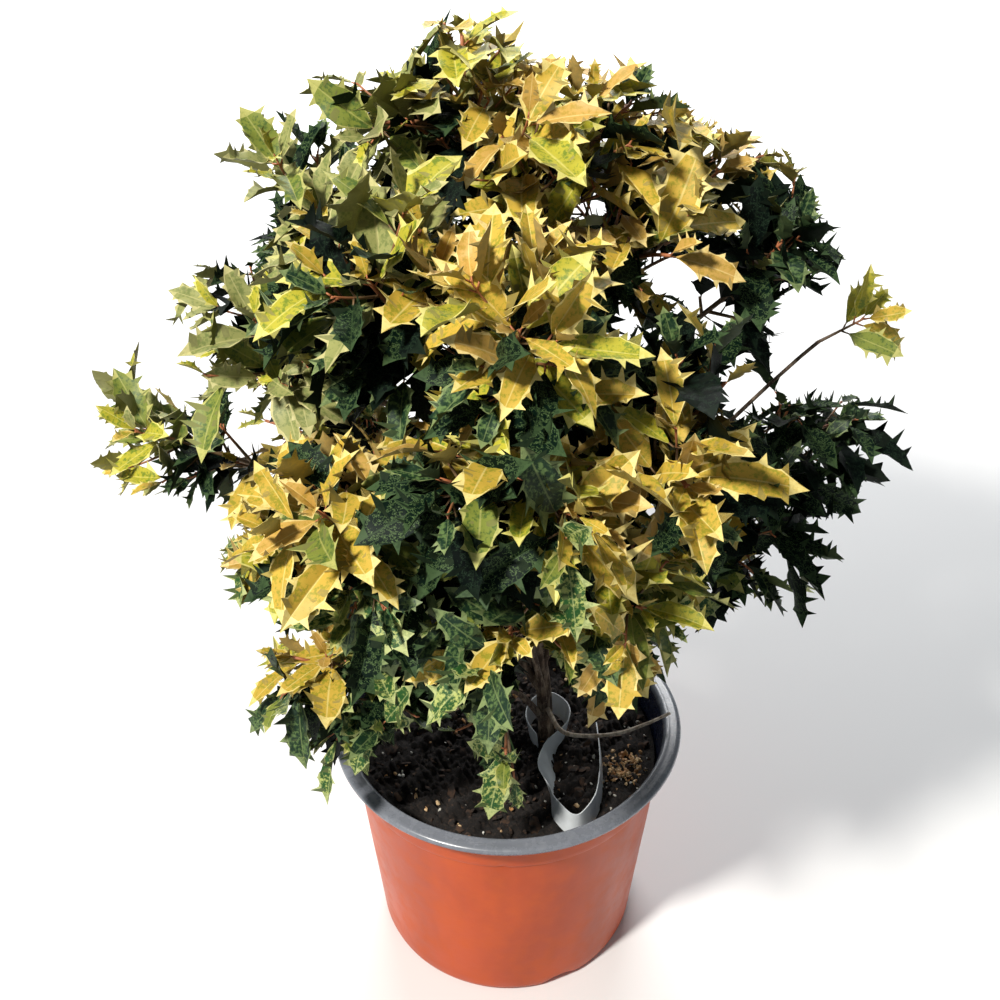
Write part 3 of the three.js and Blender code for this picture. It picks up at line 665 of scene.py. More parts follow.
bough_names = [name for name in limbs if name != "trunk"]
bough_parts = []
for name in bough_names:
    curve, radius_at = limbs[name]
    length = curve.length()
    rows = int(max(16, length / BOUGH_RING_GAP))
    relief = bark_relief(rows, BOUGH_SIDES, length, 2 * np.pi * 3, bark_rng)
    # The collar adds 45% at the parent and dies out over 9 mm, and the bark adds a quarter of a millimetre.
    bough_parts.append(tube(
        curve, lambda t: radius_at(t) * (1 + 0.45 * np.exp(-t * length / 9)) + 0.25,
        BOUGH_SIDES, rows, relief))
# A bare shoot that has lost its leaves lies low over the potting mix, from the trunk's foot to the rim.
bare = Spline((30, 0, 203), (42, -22, 200), (78, -22, 198), (104, -14, 201), (122, -9, 207))
BARE_ROWS, BARE_SIDES, BARE_LENGTH, BARE_GIRTH = 60, 10, 100, 9
relief = bark_relief(BARE_ROWS, BARE_SIDES, BARE_LENGTH, BARE_GIRTH, bark_rng)
bough_parts.append(tube(bare, lambda t: 1.9 - 0.8 * t, BARE_SIDES, BARE_ROWS, relief))
# The bare shoot's bark is pale, and its colours are lighter still than its own: painted light, for the sun on
# the shoot under the crown.
bare_skin, shader, tone = material("bark_pale_and_lit", 0.75)
pale_lit_streaks = noise(tone, 300, 4.0, 0.6, (1, 1, 0.4)).step(0.35, 0.65)
drive(shader, "Base Color", pale_lit_streaks.mix(colour(160, 140, 120), colour(222, 208, 190)))
points, faces, _ = joined(bough_parts)
bare_faces = len(bough_parts[-1][1])
bark_slots = np.repeat([0, 1], [len(faces) - bare_faces, bare_faces])
boughs = piece("bough_bark", points * MM, faces, [bark_skin, bare_skin], slots=bark_slots)
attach(boughs, "root")
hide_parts(*[f"bough_{name}" for name in bough_names])

# The shoots: slim and round, brown and woody at their foot and flushed orange-red at the young end, with the
# leaf stalks, which are pinkish on young leaves. They grow by the part's seeded rule, carried on to finer
# twigs, and the places of the leaves on them are found at the same time.
# The rules for pairs of twigs: how far the second sits back, their angle to the shoot and its range, their
# least length and its range as shares, the scales that are tried, how much they rise, the tenth of their
# length from which they are tested, how far past the mass and into a limb's margin they may go, and their
# radius. The fine ones also sag.
SIDE_TWIG = {
    "back": 4, "angle": 54, "turning": 14, "least": 0.85, "spare": 0.3, "scales": (1, 0.75, 0.5),
    "rise": 0.12, "tested": 2, "past": 0, "ease": 0, "radius": 1.3,
}
FINE_TWIG = {
    "back": 3, "angle": 50, "turning": 16, "least": 0.8, "spare": 0.4, "scales": (1, 0.7), "rise": 0.2,
    "sag": 0.06, "tested": 3, "past": 4, "ease": 1.5, "radius": 0.95,
}
SIDE_LENGTH, FINE_LENGTH_ON_STEM, FINE_LENGTH_ON_TWIG = 42, 34, 27
SIDE_SHARES, FINE_SHARES = (0.56, 0.26), (0.86, 0.72, 0.58, 0.42, 0.2)
STEM_RADIUS, WHIP_STEM_RADIUS, FORK_SHARE = 1.9, 1.1, 0.22
# Leaves by their age, in pairs back from the tip: angle to the shoot, share of the full length, and the
# distance to the next pair. Then the scales and swings that are tried for each, and the masses whose leaves
# differ.
LEAF_ANGLES, LEAF_SHARES, PAIR_GAPS = (26, 48, 60, 68), (0.5, 0.9, 1.05, 1.0), (5, 8, 12)
LEAF_ON_STEM, LEAF_ON_TWIG, WHIP_LEAVES = 54, 50, (30, 40, 42)
LEAF_TRIES = ((1, 0), (1, 24), (1, -24), (0.84, 0), (0.84, 30), (0.84, -30), (0.7, 0))
LEAFY_SHARE, LEAF_GAP = 0.82, 3.8
LEAF_PAST_MASS, WHIP_LEAF_PAST_MASS = 7, 26
LEAF_SCALE = {"left": 0.86, "left_upper": 0.86, "far_left": 0.86, "right_front": 0.86, "front_low": 1.2}
OLD_LEAVES_LEFT = {"front_low": 0.5, "low_right": 0.6, "low_left": 0.7, "far_left": 0.6}
# Where the sky shows through the crown from the camera: middle and half sizes in thousandths of the picture.
OPENINGS = np.array([
    (800, 336, 30, 34), (826, 378, 48, 20), (249, 440, 20, 13), (659, 275, 12, 20), (185, 385, 20, 15),
    (251, 398, 14, 10), (267, 212, 7, 22), (235, 323, 9, 8), (627, 327, 8, 14), (768, 564, 11, 7),
    (284, 423, 8, 8), (574, 206, 7, 11), (702, 275, 6, 9), (597, 209, 6, 9), (399, 410, 8, 6),
    (686, 310, 6, 7), (718, 311, 9, 10), (726, 362, 10, 6), (745, 398, 30, 14), (466, -34, 70, 46),
    (148, 548, 58, 50), (760, 708, 84, 64), (345, 30, 76, 46), (612, 18, 104, 40), (144, 250, 46, 46),
    (543, 700, 26, 46), (424, 778, 50, 46), (612, 775, 62, 48), (560, 815, 40, 26), (790, 60, 130, 70),
    (845, 140, 60, 50), (884, 188, 62, 58), (190, 217, 48, 43), (62, 402, 26, 50),
])
PICTURE_MIDDLE = 500
DOWNWARD = math.radians(90 - TILT)
SIGHT = np.array([0, math.cos(DOWNWARD), -math.sin(DOWNWARD)])
RAISED = np.array([0, math.sin(DOWNWARD), math.cos(DOWNWARD)])

# What twigs and leaves keep off: points every LIMB_STEP along the limbs, each with the room that it needs,
# and the pot with RIM_GAP above its rim, as far out as RIM_REACH.
LIMB_STEP, LIMB_MARGIN = 4, 3.2
RIM_GAP, RIM_REACH = 4, 134
limb_points, limb_room = [], []
for curve, radius_at in limbs.values():
    count = math.ceil(curve.length() / LIMB_STEP)
    t = np.arange(count + 1) / count
    limb_points.append(curve.at(t))
    limb_room.append(radius_at(t) + LIMB_MARGIN)
limb_points, limb_room = np.vstack(limb_points), np.concatenate(limb_room)
centres = np.array([mass["centre"] for mass in masses.values()])


def stream(seed):
    """The part's seeded stream of numbers from 0 to 1: state times 1664525 plus 1013904223, modulo 2 to the
    32, over 2 to the 32. Its first four numbers are left out."""
    state = seed

    def following():
        nonlocal state
        state = (state * 1664525 + 1013904223) % 4294967296
        return state / 4294967296

    for _ in range(4):
        following()
    return following


def in_picture(points):
    """Where points show, in thousandths of the picture: its middle, plus FOCAL times offset over depth to
    the right and minus it upwards."""
    seen = points - EYE
    depth = seen @ SIGHT
    x = PICTURE_MIDDLE + FOCAL * seen[..., 0] / depth
    y = PICTURE_MIDDLE - FOCAL * (seen @ RAISED) / depth
    return x, y


def open_to_sky(points):
    """True if a point lies in front of one of the openings, which are ellipses."""
    x, y = in_picture(points)
    middle_x, middle_y, half_x, half_y = OPENINGS.T
    far = ((x[:, None] - middle_x) / half_x) ** 2 + ((y[:, None] - middle_y) / half_y) ** 2
    return bool((far < 1).any())


def clear_of_limbs(points, ease=0.0):
    """True if the points are further from the limbs near them than a limb's radius and margin, less ease."""
    close = (np.abs(limb_points - points.mean(axis=0)) < 55).all(axis=1)
    apart = ((points[:, None] - limb_points[close][None]) ** 2).sum(axis=-1)
    return bool((apart > (limb_room[close] - ease) ** 2).all())


def in_space(mass, points, ease=0.0):
    """True if every point is in the mass's ball, off the pot, and nearest to this mass's centre."""
    home = mass["centre"]
    if (np.linalg.norm(points - home, axis=1) > mass["radius"] + ease).any():
        return False
    low = points[:, 2] < POT_HEIGHT + RIM_GAP - ease / 2
    if (low & (np.hypot(points[:, 0], points[:, 1]) < RIM_REACH)).any():
        return False
    apart = centres - home
    gap = np.linalg.norm(apart, axis=1)
    others = gap > 0
    past = (points - home) @ apart[others].T / gap[others]
    return bool((past < gap[others] / 2 - 0.5 + ease).all())


def heading_from(tangent, turn, angle):
    """The tangent tipped by angle degrees, towards a side that is turned by turn degrees round it."""
    across = unit(np.cross(tangent, SLANT))
    a = math.radians(turn)
    across = across * math.cos(a) + np.cross(tangent, across) * math.sin(a)
    spread = math.radians(angle)
    return tangent * math.cos(spread) + across * math.sin(spread)


def opposite_twigs(mass, parent, following, rule, full, shares):
    """Pairs of twigs at shares of a parent, about a quarter turn on from pair to pair. A twig that has no
    room is shortened, and then left out."""
    twigs = []
    fine = rule is FINE_TWIG
    turn = following() * 360
    for share in shares:
        tangent = parent["curve"].tangent(share)
        for half in (0, 180):
            start = parent["curve"].at(share) - tangent * (rule["back"] if half else 0)
            angle = rule["angle"] + rule["turning"] * (following() - 0.5)
            heading = heading_from(tangent, turn + half, angle)
            length = full * (rule["least"] + rule["spare"] * following())
            for scale in rule["scales"]:
                end = start + heading * length * scale + UP * length * scale * rule["rise"]
                tests = Bezier(start, end).at(np.arange(rule["tested"], 11) / 10)
                if not in_space(mass, tests, rule["past"]) or not clear_of_limbs(tests, rule["ease"]):
                    continue
                curve = Bezier(start, end)
                if fine:
                    if open_to_sky(tests):
                        continue
                    curve = Bezier(start, (start + end) / 2 - UP * length * rule["sag"], end)
                twigs.append({"curve": curve, "radius": rule["radius"], "main": False, "fine": fine})
                break
        turn += 90 + 20 * (following() - 0.5)
    return twigs


def grow_twigs(mass, following):
    """A stem to the first lead, a fork to each other lead, and opposite side twigs, as in the solids. Then
    finer twigs between them, on the stems and on the side twigs."""
    twigs = []
    radius = WHIP_STEM_RADIUS if mass["name"] == "whip" else STEM_RADIUS
    for i, tip in enumerate(mass["tips"]):
        start = mass["entry"] + 0.3 * mass["outward"] if i == 0 else twigs[0]["curve"].at(FORK_SHARE)
        reach = np.linalg.norm(tip - start)
        curve = Bezier(start, start + mass["outward"] * reach * 0.5, tip)
        twigs.append({"curve": curve, "radius": radius, "main": True, "fine": False})
    shares = () if mass["name"] == "whip" else SIDE_SHARES[len(mass["tips"]) - 1:]
    for stem in list(twigs):
        twigs += opposite_twigs(mass, stem, following, SIDE_TWIG, SIDE_LENGTH, shares)
    if mass["name"] in ("whip", "front_low"):
        return twigs
    for parent in list(twigs):
        full, shares = (FINE_LENGTH_ON_STEM, FINE_SHARES) if parent["main"] else (FINE_LENGTH_ON_TWIG, (0.5,))
        twigs += opposite_twigs(mass, parent, following, FINE_TWIG, full, shares)
    return twigs


def blade_samples(base, direction, face, length):
    """Fifteen points over a leaf's blade, that stand for it when it is tested against what is near: three at
    each fifth of its length, bent down by a tenth of the length times the share squared."""
    side = np.cross(face, direction)
    share = np.repeat([0.2, 0.4, 0.6, 0.8, 1.0], 3)
    width = np.repeat([0.5, 0.9, 1.0, 0.7, 0.0], 3) * np.tile([-1, 0, 1], 5) * 0.25 * length
    bend = 0.1 * length * share**2
    return base + direction * (share * length)[:, None] + side * width[:, None] - face * bend[:, None]


def leaf_fits(mass, samples, near):
    """True if a leaf's samples have room: clear of leaves near it, in the mass, off the limbs and off the
    sky. Those of its foot, the first three, may be close to other leaves and to a limb."""
    blade = samples[3:]
    if len(near) and ((blade[:, None] - near[None]) ** 2).sum(axis=-1).min() < LEAF_GAP**2:
        return False
    past = WHIP_LEAF_PAST_MASS if mass["name"] == "whip" else LEAF_PAST_MASS
    return in_space(mass, samples, past) and clear_of_limbs(blade, 1.5) and not open_to_sky(samples)


def grow_leaves(mass, twigs, following, taken):
    """Opposite leaves at nodes from each shoot's tip back, crosswise from node to node, clear of what is
    there: a small young pair, a rosette of large ones, and older pairs further down. Each faces up and along
    its shoot, and the whip's face the front. Returns them and the samples of what is there now."""
    leaves = []
    whip = mass["name"] == "whip"
    for number, twig in enumerate(twigs):
        curve = twig["curve"]
        length = curve.length()
        turn = following() * 360
        back = 1.0
        age = 0
        while back < length * LEAFY_SHARE:
            share = 1 - back / length
            tangent = curve.tangent(share)
            near = taken[(np.abs(taken - curve.at(share)) < 72).all(axis=1)]
            for half in (0, 180):
                base = curve.at(share) - tangent * (1.5 if half else 0)
                angle = LEAF_ANGLES[min(age, 3)] + 16 * (following() - 0.5)
                full = LEAF_ON_STEM if twig["main"] else LEAF_ON_TWIG
                full *= LEAF_SHARES[min(age, 3)] * (0.84 + 0.3 * following())
                full = WHIP_LEAVES[min(age, 2)] if whip else full * LEAF_SCALE.get(mass["name"], 1)
                kept = following() <= OLD_LEAVES_LEFT.get(mass["name"], 1)
                if age > 1 and not kept:
                    continue
                for scale, swing in LEAF_TRIES:
                    direction = heading_from(tangent, turn + half + swing, angle)
                    wish = np.array([0.2, -0.6, 0.8]) if whip else tangent + 0.8 * UP
                    face = unit(wish - direction * (wish @ direction))
                    samples = blade_samples(base, direction, face, full * scale)
                    if leaf_fits(mass, samples, near):
                        leaves.append({
                            "mass": mass, "twig": number, "fine": twig["fine"], "age": age, "base": base,
                            "direction": direction, "face": face, "length": full * scale,
                        })
                        taken = np.vstack([taken, samples[3:]])
                        near = np.vstack([near, samples[3:]])
                        break
            turn += 90 + 16 * (following() - 0.5)
            back += PAIR_GAPS[min(age, 2)]
            age += 1
    return leaves, taken


all_twigs, all_leaves = [], []
everything = np.zeros((0, 3))
for mass in masses.values():
    following = stream(mass["seed"])
    twigs = grow_twigs(mass, following)
    close = np.linalg.norm(everything - mass["centre"], axis=1) < mass["radius"] + 20
    leaves, taken = grow_leaves(mass, twigs, following, everything[close])
    everything = np.vstack([everything, taken[int(close.sum()):]])
    all_leaves += leaves
    # A twig ends just past its last leaf, and one with no leaf is left out.
    for number, twig in enumerate(twigs):
        bases = np.array([leaf["base"] for leaf in leaves if leaf["twig"] == number])
        if len(bases):
            t = np.linspace(0, 1, 41)
            apart = np.linalg.norm(twig["curve"].at(t)[:, None] - bases[None], axis=-1)
            twig["end"] = min(1.0, t[apart.argmin(axis=0).max()] + 1.5 / twig["curve"].length())
            all_twigs.append(twig)

# Each leaf stalk is a slim three-sided rod, which ends a little inside the blade.
STALK_END, STALK_FOOT_RADIUS, STALK_TIP_RADIUS = 0.14, 0.75, 0.5
stalk_turn = np.arange(3) / 3 * 2 * np.pi
stalk_faces = np.array([[0, 1, 4, 3], [1, 2, 5, 4], [2, 0, 3, 5], [2, 1, 0, -1], [3, 4, 5, -1]])
shoot_parts = []
for twig in all_twigs:
    # A stem's foot reaches back over the tip of its bough, so that no gap shows between them.
    foot, rows = (-0.02, 14) if twig["main"] else (0.0, 7)
    points, faces, ages = tube(
        twig["curve"], lambda t: twig["radius"] * (1 - 0.45 * t), 6, rows, first=foot, last=twig["end"])
    shoot_parts.append((points, faces, ages if twig["main"] else 0.35 + 0.65 * ages))
for leaf in all_leaves:
    end = leaf["base"] + leaf["direction"] * leaf["length"] * STALK_END
    side = np.cross(leaf["face"], leaf["direction"])
    ring = np.cos(stalk_turn)[:, None] * side + np.sin(stalk_turn)[:, None] * leaf["face"]
    points = np.vstack([leaf["base"] + ring * STALK_FOOT_RADIUS, end + ring * STALK_TIP_RADIUS])
    shoot_parts.append((points, stalk_faces, np.full(6, 1.0 if leaf["age"] < 2 else 0.62)))
shoot_skin, shader, tone = material("shoots", 0.55)
youth = tone.out(tone.node("ShaderNodeAttribute", {"attribute_name": "age"}), "Fac")
grain = noise(tone, 500, 3.0)
young = youth.step(0.6, 0.98).mix(colour(112, 88, 58), colour(170, 104, 66))
woody = grain.mix(colour(74, 56, 42), colour(124, 104, 84))
drive(shader, "Base Color", youth.step(0.1, 0.55).mix(woody, young))
points, faces, ages = joined(shoot_parts)
shoots = piece("shoots", points * MM, faces, [shoot_skin], ages=ages)
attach(shoots, "root")
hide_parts(*[f"leaves_{name}" for name in masses])

# The leaves: stiff holly-like blades with large forward-pointing spines, folded along the midrib, each a
# thin closed shell. They are variegated: the margin, the blade and irregular blotches have colours of their
# own, and the colours are dealt out by spray and by the leaf's age.
# Each row of the edge is its share of the length, half its width as a share, how far it runs forward, and
# whether it is a spine. There is a form with three spines a side and one with four, and both can be nearly
# entire.
FORMS = np.array([
    [[0.08, 0.15, 0, 0], [0.20, 0.36, 0, 0], [0.32, 0.60, 0, 0], [0.38, 1.0, 0.03, 1], [0.42, 0.66, 0, 0],
     [0.50, 0.60, 0, 0], [0.57, 0.68, 0, 0], [0.61, 1.02, 0.04, 1], [0.65, 0.60, 0, 0], [0.715, 0.49, 0, 0],
     [0.765, 0.54, 0, 0], [0.79, 0.82, 0.05, 1], [0.83, 0.36, 0, 0], [0.91, 0.17, 0, 0]],
    [[0.09, 0.22, 0, 0], [0.235, 0.82, 0.03, 1], [0.28, 0.56, 0, 0], [0.37, 0.60, 0, 0], [0.43, 0.68, 0, 0],
     [0.465, 1.04, 0.03, 1], [0.50, 0.66, 0, 0], [0.58, 0.61, 0, 0], [0.64, 0.66, 0, 0],
     [0.67, 0.98, 0.04, 1], [0.715, 0.50, 0, 0], [0.80, 0.76, 0.05, 1], [0.84, 0.34, 0, 0],
     [0.92, 0.15, 0, 0]],
])
# The kinds of leaf, from the youngest to the oldest: name, then the colours of blade, margin, blotches and
# underside. SPINY and BORDER are how spiny each kind is and how far out its margin starts.
PALETTE = (
    ("apricot", (194, 156, 80), (226, 204, 136), (172, 142, 58), (156, 134, 76)),
    ("gold", (195, 163, 63), (228, 210, 134), (148, 142, 43), (152, 136, 70)),
    ("butter", (178, 170, 54), (214, 206, 120), (112, 130, 40), (140, 136, 70)),
    ("lime", (120, 130, 54), (176, 174, 102), (74, 96, 42), (114, 116, 62)),
    ("sage", (146, 148, 90), (188, 182, 126), (112, 122, 68), (124, 124, 78)),
    ("marbled", (38, 78, 36), (176, 184, 122), (172, 180, 104), (80, 92, 52)),
    ("green", (18, 44, 26), (122, 138, 88), (88, 112, 64), (60, 74, 42)),
    # The last two kinds are the old dark green leaves, made nearly black: partly their own colour and partly
    # painted shade for the crown's shadowed inside.
    ("dark", (7, 24, 16), (60, 80, 50), (92, 116, 72), (30, 42, 27)),
    ("deep", (4, 12, 9), (20, 32, 22), (40, 58, 42), (15, 24, 16)),
)
SPINY = np.array([0.85, 0.85, 0.85, 0.78, 0.64, 0.9, 0.9, 0.95, 0.95])
BORDER = np.array([0.9, 0.88, 0.88, 0.88, 0.88, 0.86, 0.84, 0.92, 0.94])
# The tones of a spray: for each age of leaf, the usual kind and the other one, as places in PALETTE.
TONES = {
    "apricot": ((0, 0), (0, 1), (0, 1), (3, 7), (7, 8), (8, 8)),
    # The rich tone keeps the older leaves gold as well: partly real young colour and partly painted light, so
    # that leaves shaded by the sprays over them don't go dark.
    "rich": ((0, 1), (1, 0), (1, 2), (1, 2), (2, 7), (8, 8)),
    "gold": ((0, 1), (1, 0), (1, 2), (3, 7), (7, 8), (8, 8)),
    "mixed": ((1, 1), (1, 5), (6, 2), (7, 3), (8, 8), (8, 8)),
    "butter": ((1, 2), (2, 1), (2, 3), (3, 7), (7, 8), (8, 8)),
    "olive": ((1, 4), (2, 4), (4, 3), (3, 7), (7, 8), (8, 8)),
    "sage": ((2, 4), (4, 4), (4, 3), (4, 7), (7, 8), (8, 8)),
    "hanging": ((3, 5), (5, 5), (5, 5), (6, 7), (7, 7), (7, 8)),
    "marbled": ((3, 5), (5, 6), (6, 7), (7, 6), (8, 8), (8, 8)),
    "dark": ((6, 6), (7, 6), (7, 8), (8, 7), (8, 8), (8, 8)),
}
# The usual and the other tone of each mass, where its sprays don't show from in front.
MASS_TONES = {
    "top_left": ("butter", "sage"), "top": ("gold", "marbled"), "left_upper": ("sage", "dark"),
    "left": ("sage", "dark"), "far_left": ("butter", "sage"), "left_low": ("dark", "butter"),
    "low_left": ("marbled", "gold"), "front_low": ("hanging", "hanging"), "low_right": ("dark", "marbled"),
    "right_low": ("dark", "dark"), "right": ("dark", "marbled"), "right_upper": ("dark", "butter"),
    "whip": ("butter", "gold"), "right_top": ("dark", "gold"), "top_right": ("gold", "dark"),
    "centre_left": ("olive", "gold"), "centre": ("gold", "butter"), "front_middle": ("gold", "dark"),
    "centre_right": ("gold", "butter"), "right_front": ("gold", "dark"), "left_front": ("butter", "gold"),
    "centre_low": ("gold", "marbled"), "back_top": ("marbled", "gold"), "back_left": ("sage", "dark"),
    "back_right": ("dark", "butter"), "back": ("marbled", "gold"), "back_low_left": ("marbled", "butter"),
    "back_low_right": ("dark", "marbled"),
}
# Where the young, light sprays sit in front, in thousandths of the picture: middle, half sizes and tone.
SPRAYS = (
    (548, 145, 88, 92, "rich"), (668, 172, 60, 66, "gold"), (765, 176, 36, 50, "butter"),
    (515, 290, 86, 82, "rich"), (368, 240, 66, 54, "olive"), (395, 105, 66, 38, "sage"),
    (470, 48, 42, 42, "butter"), (262, 152, 42, 44, "sage"), (215, 240, 34, 58, "sage"),
    (192, 314, 34, 36, "sage"), (250, 360, 58, 44, "sage"), (140, 435, 64, 62, "olive"),
    (316, 482, 92, 82, "gold"), (476, 450, 34, 48, "gold"), (618, 468, 104, 66, "rich"),
    (554, 446, 38, 50, "rich"), (655, 572, 82, 40, "butter"), (505, 595, 72, 44, "mixed"),
    (310, 655, 52, 38, "gold"), (612, 680, 34, 52, "gold"), (440, 668, 36, 22, "mixed"),
    (865, 296, 56, 56, "butter"), (644, 270, 42, 58, "apricot"), (700, 390, 40, 30, "mixed"),
    (728, 232, 26, 24, "mixed"),
)
# A leaf shows from in front if it lies before FRONT_Y, or above CROWN_Z and at most HIDDEN behind the middle
# of its mass. Where no spray covers it, it is dark, or for most shoots below LOW_IN_PICTURE marbled.
FRONT_Y, CROWN_Z, HIDDEN, LOW_IN_PICTURE = 30, 520, 6, 540
MARBLED_SHARE, INNER_DARK_SHARE, OTHER_TONE_SHARE, USUAL_KIND_SHARE = 0.7, 0.12, 0.25, 0.6
# Each kind has a skin for its blade, its margin and its underside. The two darkest kinds are duller, and
# they have thin pale veins instead of blotches.
leaf_skins = []
for name, blade, margin, blotch, under in PALETTE:
    shaded = name in ("dark", "deep")
    parts = (("blade", blade, blotch, 0.5), ("margin", margin, blade, 0.52), ("under", under, blade, 0.65))
    for part, shown, other, rough in parts:
        gloss = 0.08 if shaded else 0.3
        skin, shader, tone = material(f"leaf_{name}_{part}", rough, Specular_IOR_Level=gloss)
        speckle = noise(tone, 520, 4.0, 0.75)
        patch = noise(tone, 130, 2.0, 0.6)
        mask = (speckle * 0.62 + patch * 0.38).step(0.47, 0.6)
        if part == "blade":
            leaf_map = tone.node("ShaderNodeUVMap", {"uv_map": "leaf"})
            spread = tone.node("ShaderNodeSeparateXYZ", None, Vector=tone.out(leaf_map))
            across = tone.out(spread, "Y")
            rib = 1 - across.maths("ABSOLUTE", across - 0.5).step(0.01, 0.04)
            if shaded:
                vein = noise(tone, 230, 4.0, 0.75)
                mask = 1 - vein.maths("ABSOLUTE", vein - 0.5).step(0.002, 0.022)
            surface = mask.mix(colour(*shown), colour(*other))
            drive(shader, "Base Color", (rib * 0.55).mix(surface, colour(*margin)))
            bump(shader, speckle, 0.12, 0.0006)
        else:
            drive(shader, "Base Color", (mask * 0.4).mix(colour(*shown), colour(*other)))
        leaf_skins.append(skin)


def tone_of(leaf, rng):
    """The tone of the spray that a leaf is on: by its place in front, otherwise by its mass."""
    mass, base = leaf["mass"], leaf["base"]
    inner = leaf["fine"] and rng.uniform() < INNER_DARK_SHARE
    if mass["name"] == "front_low":
        return "hanging"
    x, y = in_picture(base)
    facing = (mass["centre"] - base) @ SIGHT
    if base[1] < FRONT_Y or (base[2] > CROWN_Z and facing > -HIDDEN):
        for middle_x, middle_y, half_x, half_y, tone in SPRAYS:
            if ((x - middle_x) / half_x) ** 2 + ((y - middle_y) / half_y) ** 2 < 1:
                return tone
        return "marbled" if y > LOW_IN_PICTURE and rng.uniform() < MARBLED_SHARE else "dark"
    first, second = MASS_TONES[mass["name"]]
    shares = [1 - OTHER_TONE_SHARE, OTHER_TONE_SHARE]
    return "dark" if inner else str(rng.choice([first, second], p=shares))


rng = np.random.default_rng(77)
count = len(all_leaves)
spray_tone = {}
kinds = []
for leaf, pick in zip(all_leaves, rng.uniform(0, 1, count)):
    spray = (leaf["mass"]["name"], leaf["twig"])
    if spray not in spray_tone:
        spray_tone[spray] = tone_of(leaf, rng)
    usual, other = TONES[spray_tone[spray]][min(leaf["age"], 5)]
    kinds.append(usual if pick < USUAL_KIND_SHARE else other)
kinds = np.array(kinds)

# Each leaf differs: how spiny, slim, folded, wavy, twisted, drooping and swayed it is. To a side it is about
# a quarter of its length wide, and its blade starts a little way up from the foot of its stalk.
HALF_WIDTH, BLADE_START, FOUR_SPINED_SHARE = 0.25, 0.12, 0.4
base, direction, face, length = (
    np.array([leaf[key] for leaf in all_leaves]) for key in ("base", "direction", "face", "length"))
side = np.cross(face, direction)
form = FORMS[(rng.uniform(0, 1, count) < FOUR_SPINED_SHARE).astype(int)]
rows = form.shape[1]
spiny = np.clip(rng.normal(SPINY[kinds], 0.2), 0.08, 1.1)[:, None]
entire = 0.93 * np.sin(np.pi * form[..., 0] ** 0.86) ** 0.9
edge = entire * (1 - spiny) + form[..., 1] * spiny
slim = rng.uniform(0.84, 1.12, (count, 1)) * (0.78 + 0.22 * np.clip(spiny / 0.6, 0, 1))
half = HALF_WIDTH * length[:, None] * edge * slim
fold = np.tan(np.radians(rng.uniform(6, 30, (count, 1))))
waves = rng.uniform(1.2, 2.4, (count, 1))
phase = rng.uniform(0, 1, (count, 1))
twist = rng.normal(0, 0.3, (count, 1))
droop = rng.uniform(-0.04, 0.3, (count, 1))
sway = rng.normal(0, 0.05, (count, 1))


def on_blade(share, offset, rise):
    """Points at shares of the blades, offset across them and raised above them: turned by the twist, then
    bent down by droop and sideways by sway, times the length and the share squared."""
    turned = twist * share
    out = offset * np.cos(turned) - rise * np.sin(turned)
    high = offset * np.sin(turned) + rise * np.cos(turned)
    size = length[:, None]
    run = size * (BLADE_START + (1 - BLADE_START) * share)
    bent = high - droop * size * share**2
    moved = out + sway * size * share**2
    run, moved, bent = (far[..., None] for far in (run, moved, bent))
    return base[:, None] + direction[:, None] * run + side[:, None] * moved + face[:, None] * bent


# A leaf's points: its left and right edge, the borders of its pale margin, its midrib, its keel and its two
# ends. The border, midrib and keel have a point at every other row of the edge.
KEEL_DEPTH, BORDER_RISE, WAVE = 0.55, 0.25, 0.15
inner = slice(None, None, 2)
edge_share = form[..., 0] + form[..., 2] * spiny
inner_share = form[:, inner, 0]
zero = np.zeros(inner_share.shape)
ends = np.array([[0.0, 1.0]]).repeat(count, axis=0)
shells, flats = [], []
for sign in (-1, 1):
    wobble = 1 + 0.08 * rng.normal(0, 1, half.shape) * form[..., 3]
    lifted = form[..., 3] * rng.normal(0.12, 0.28, half.shape) * half
    shells.append((edge_share, sign * half * wobble, lifted))
    flats.append((edge_share, np.full(half.shape, 0.5 + sign * 0.5)))
for sign in (-1, 1):
    border = np.clip(rng.normal(BORDER[kinds][:, None], 0.06, zero.shape), 0.45, 0.97)
    shells.append((inner_share, sign * half[:, inner] * border, zero + BORDER_RISE))
    flats.append((inner_share, 0.5 + sign * 0.5 * border))
shells += [(inner_share, zero, zero), (inner_share, zero, zero - KEEL_DEPTH), (ends, ends * 0, ends * 0)]
flats += [(inner_share, zero + 0.5), (inner_share, zero + 0.5), (ends, ends * 0 + 0.5)]
leaf_points = []
for share, offset, extra in shells:
    wave = WAVE * np.sin(2 * np.pi * (share * waves + phase))
    leaf_points.append(on_blade(share, offset, np.abs(offset) * (fold + wave * np.sign(offset)) + extra))
leaf_points = np.concatenate(leaf_points, axis=1)
leaf_uv = np.concatenate([np.stack(flat, axis=-1) for flat in flats], axis=1)
per_leaf = leaf_points.shape[1]

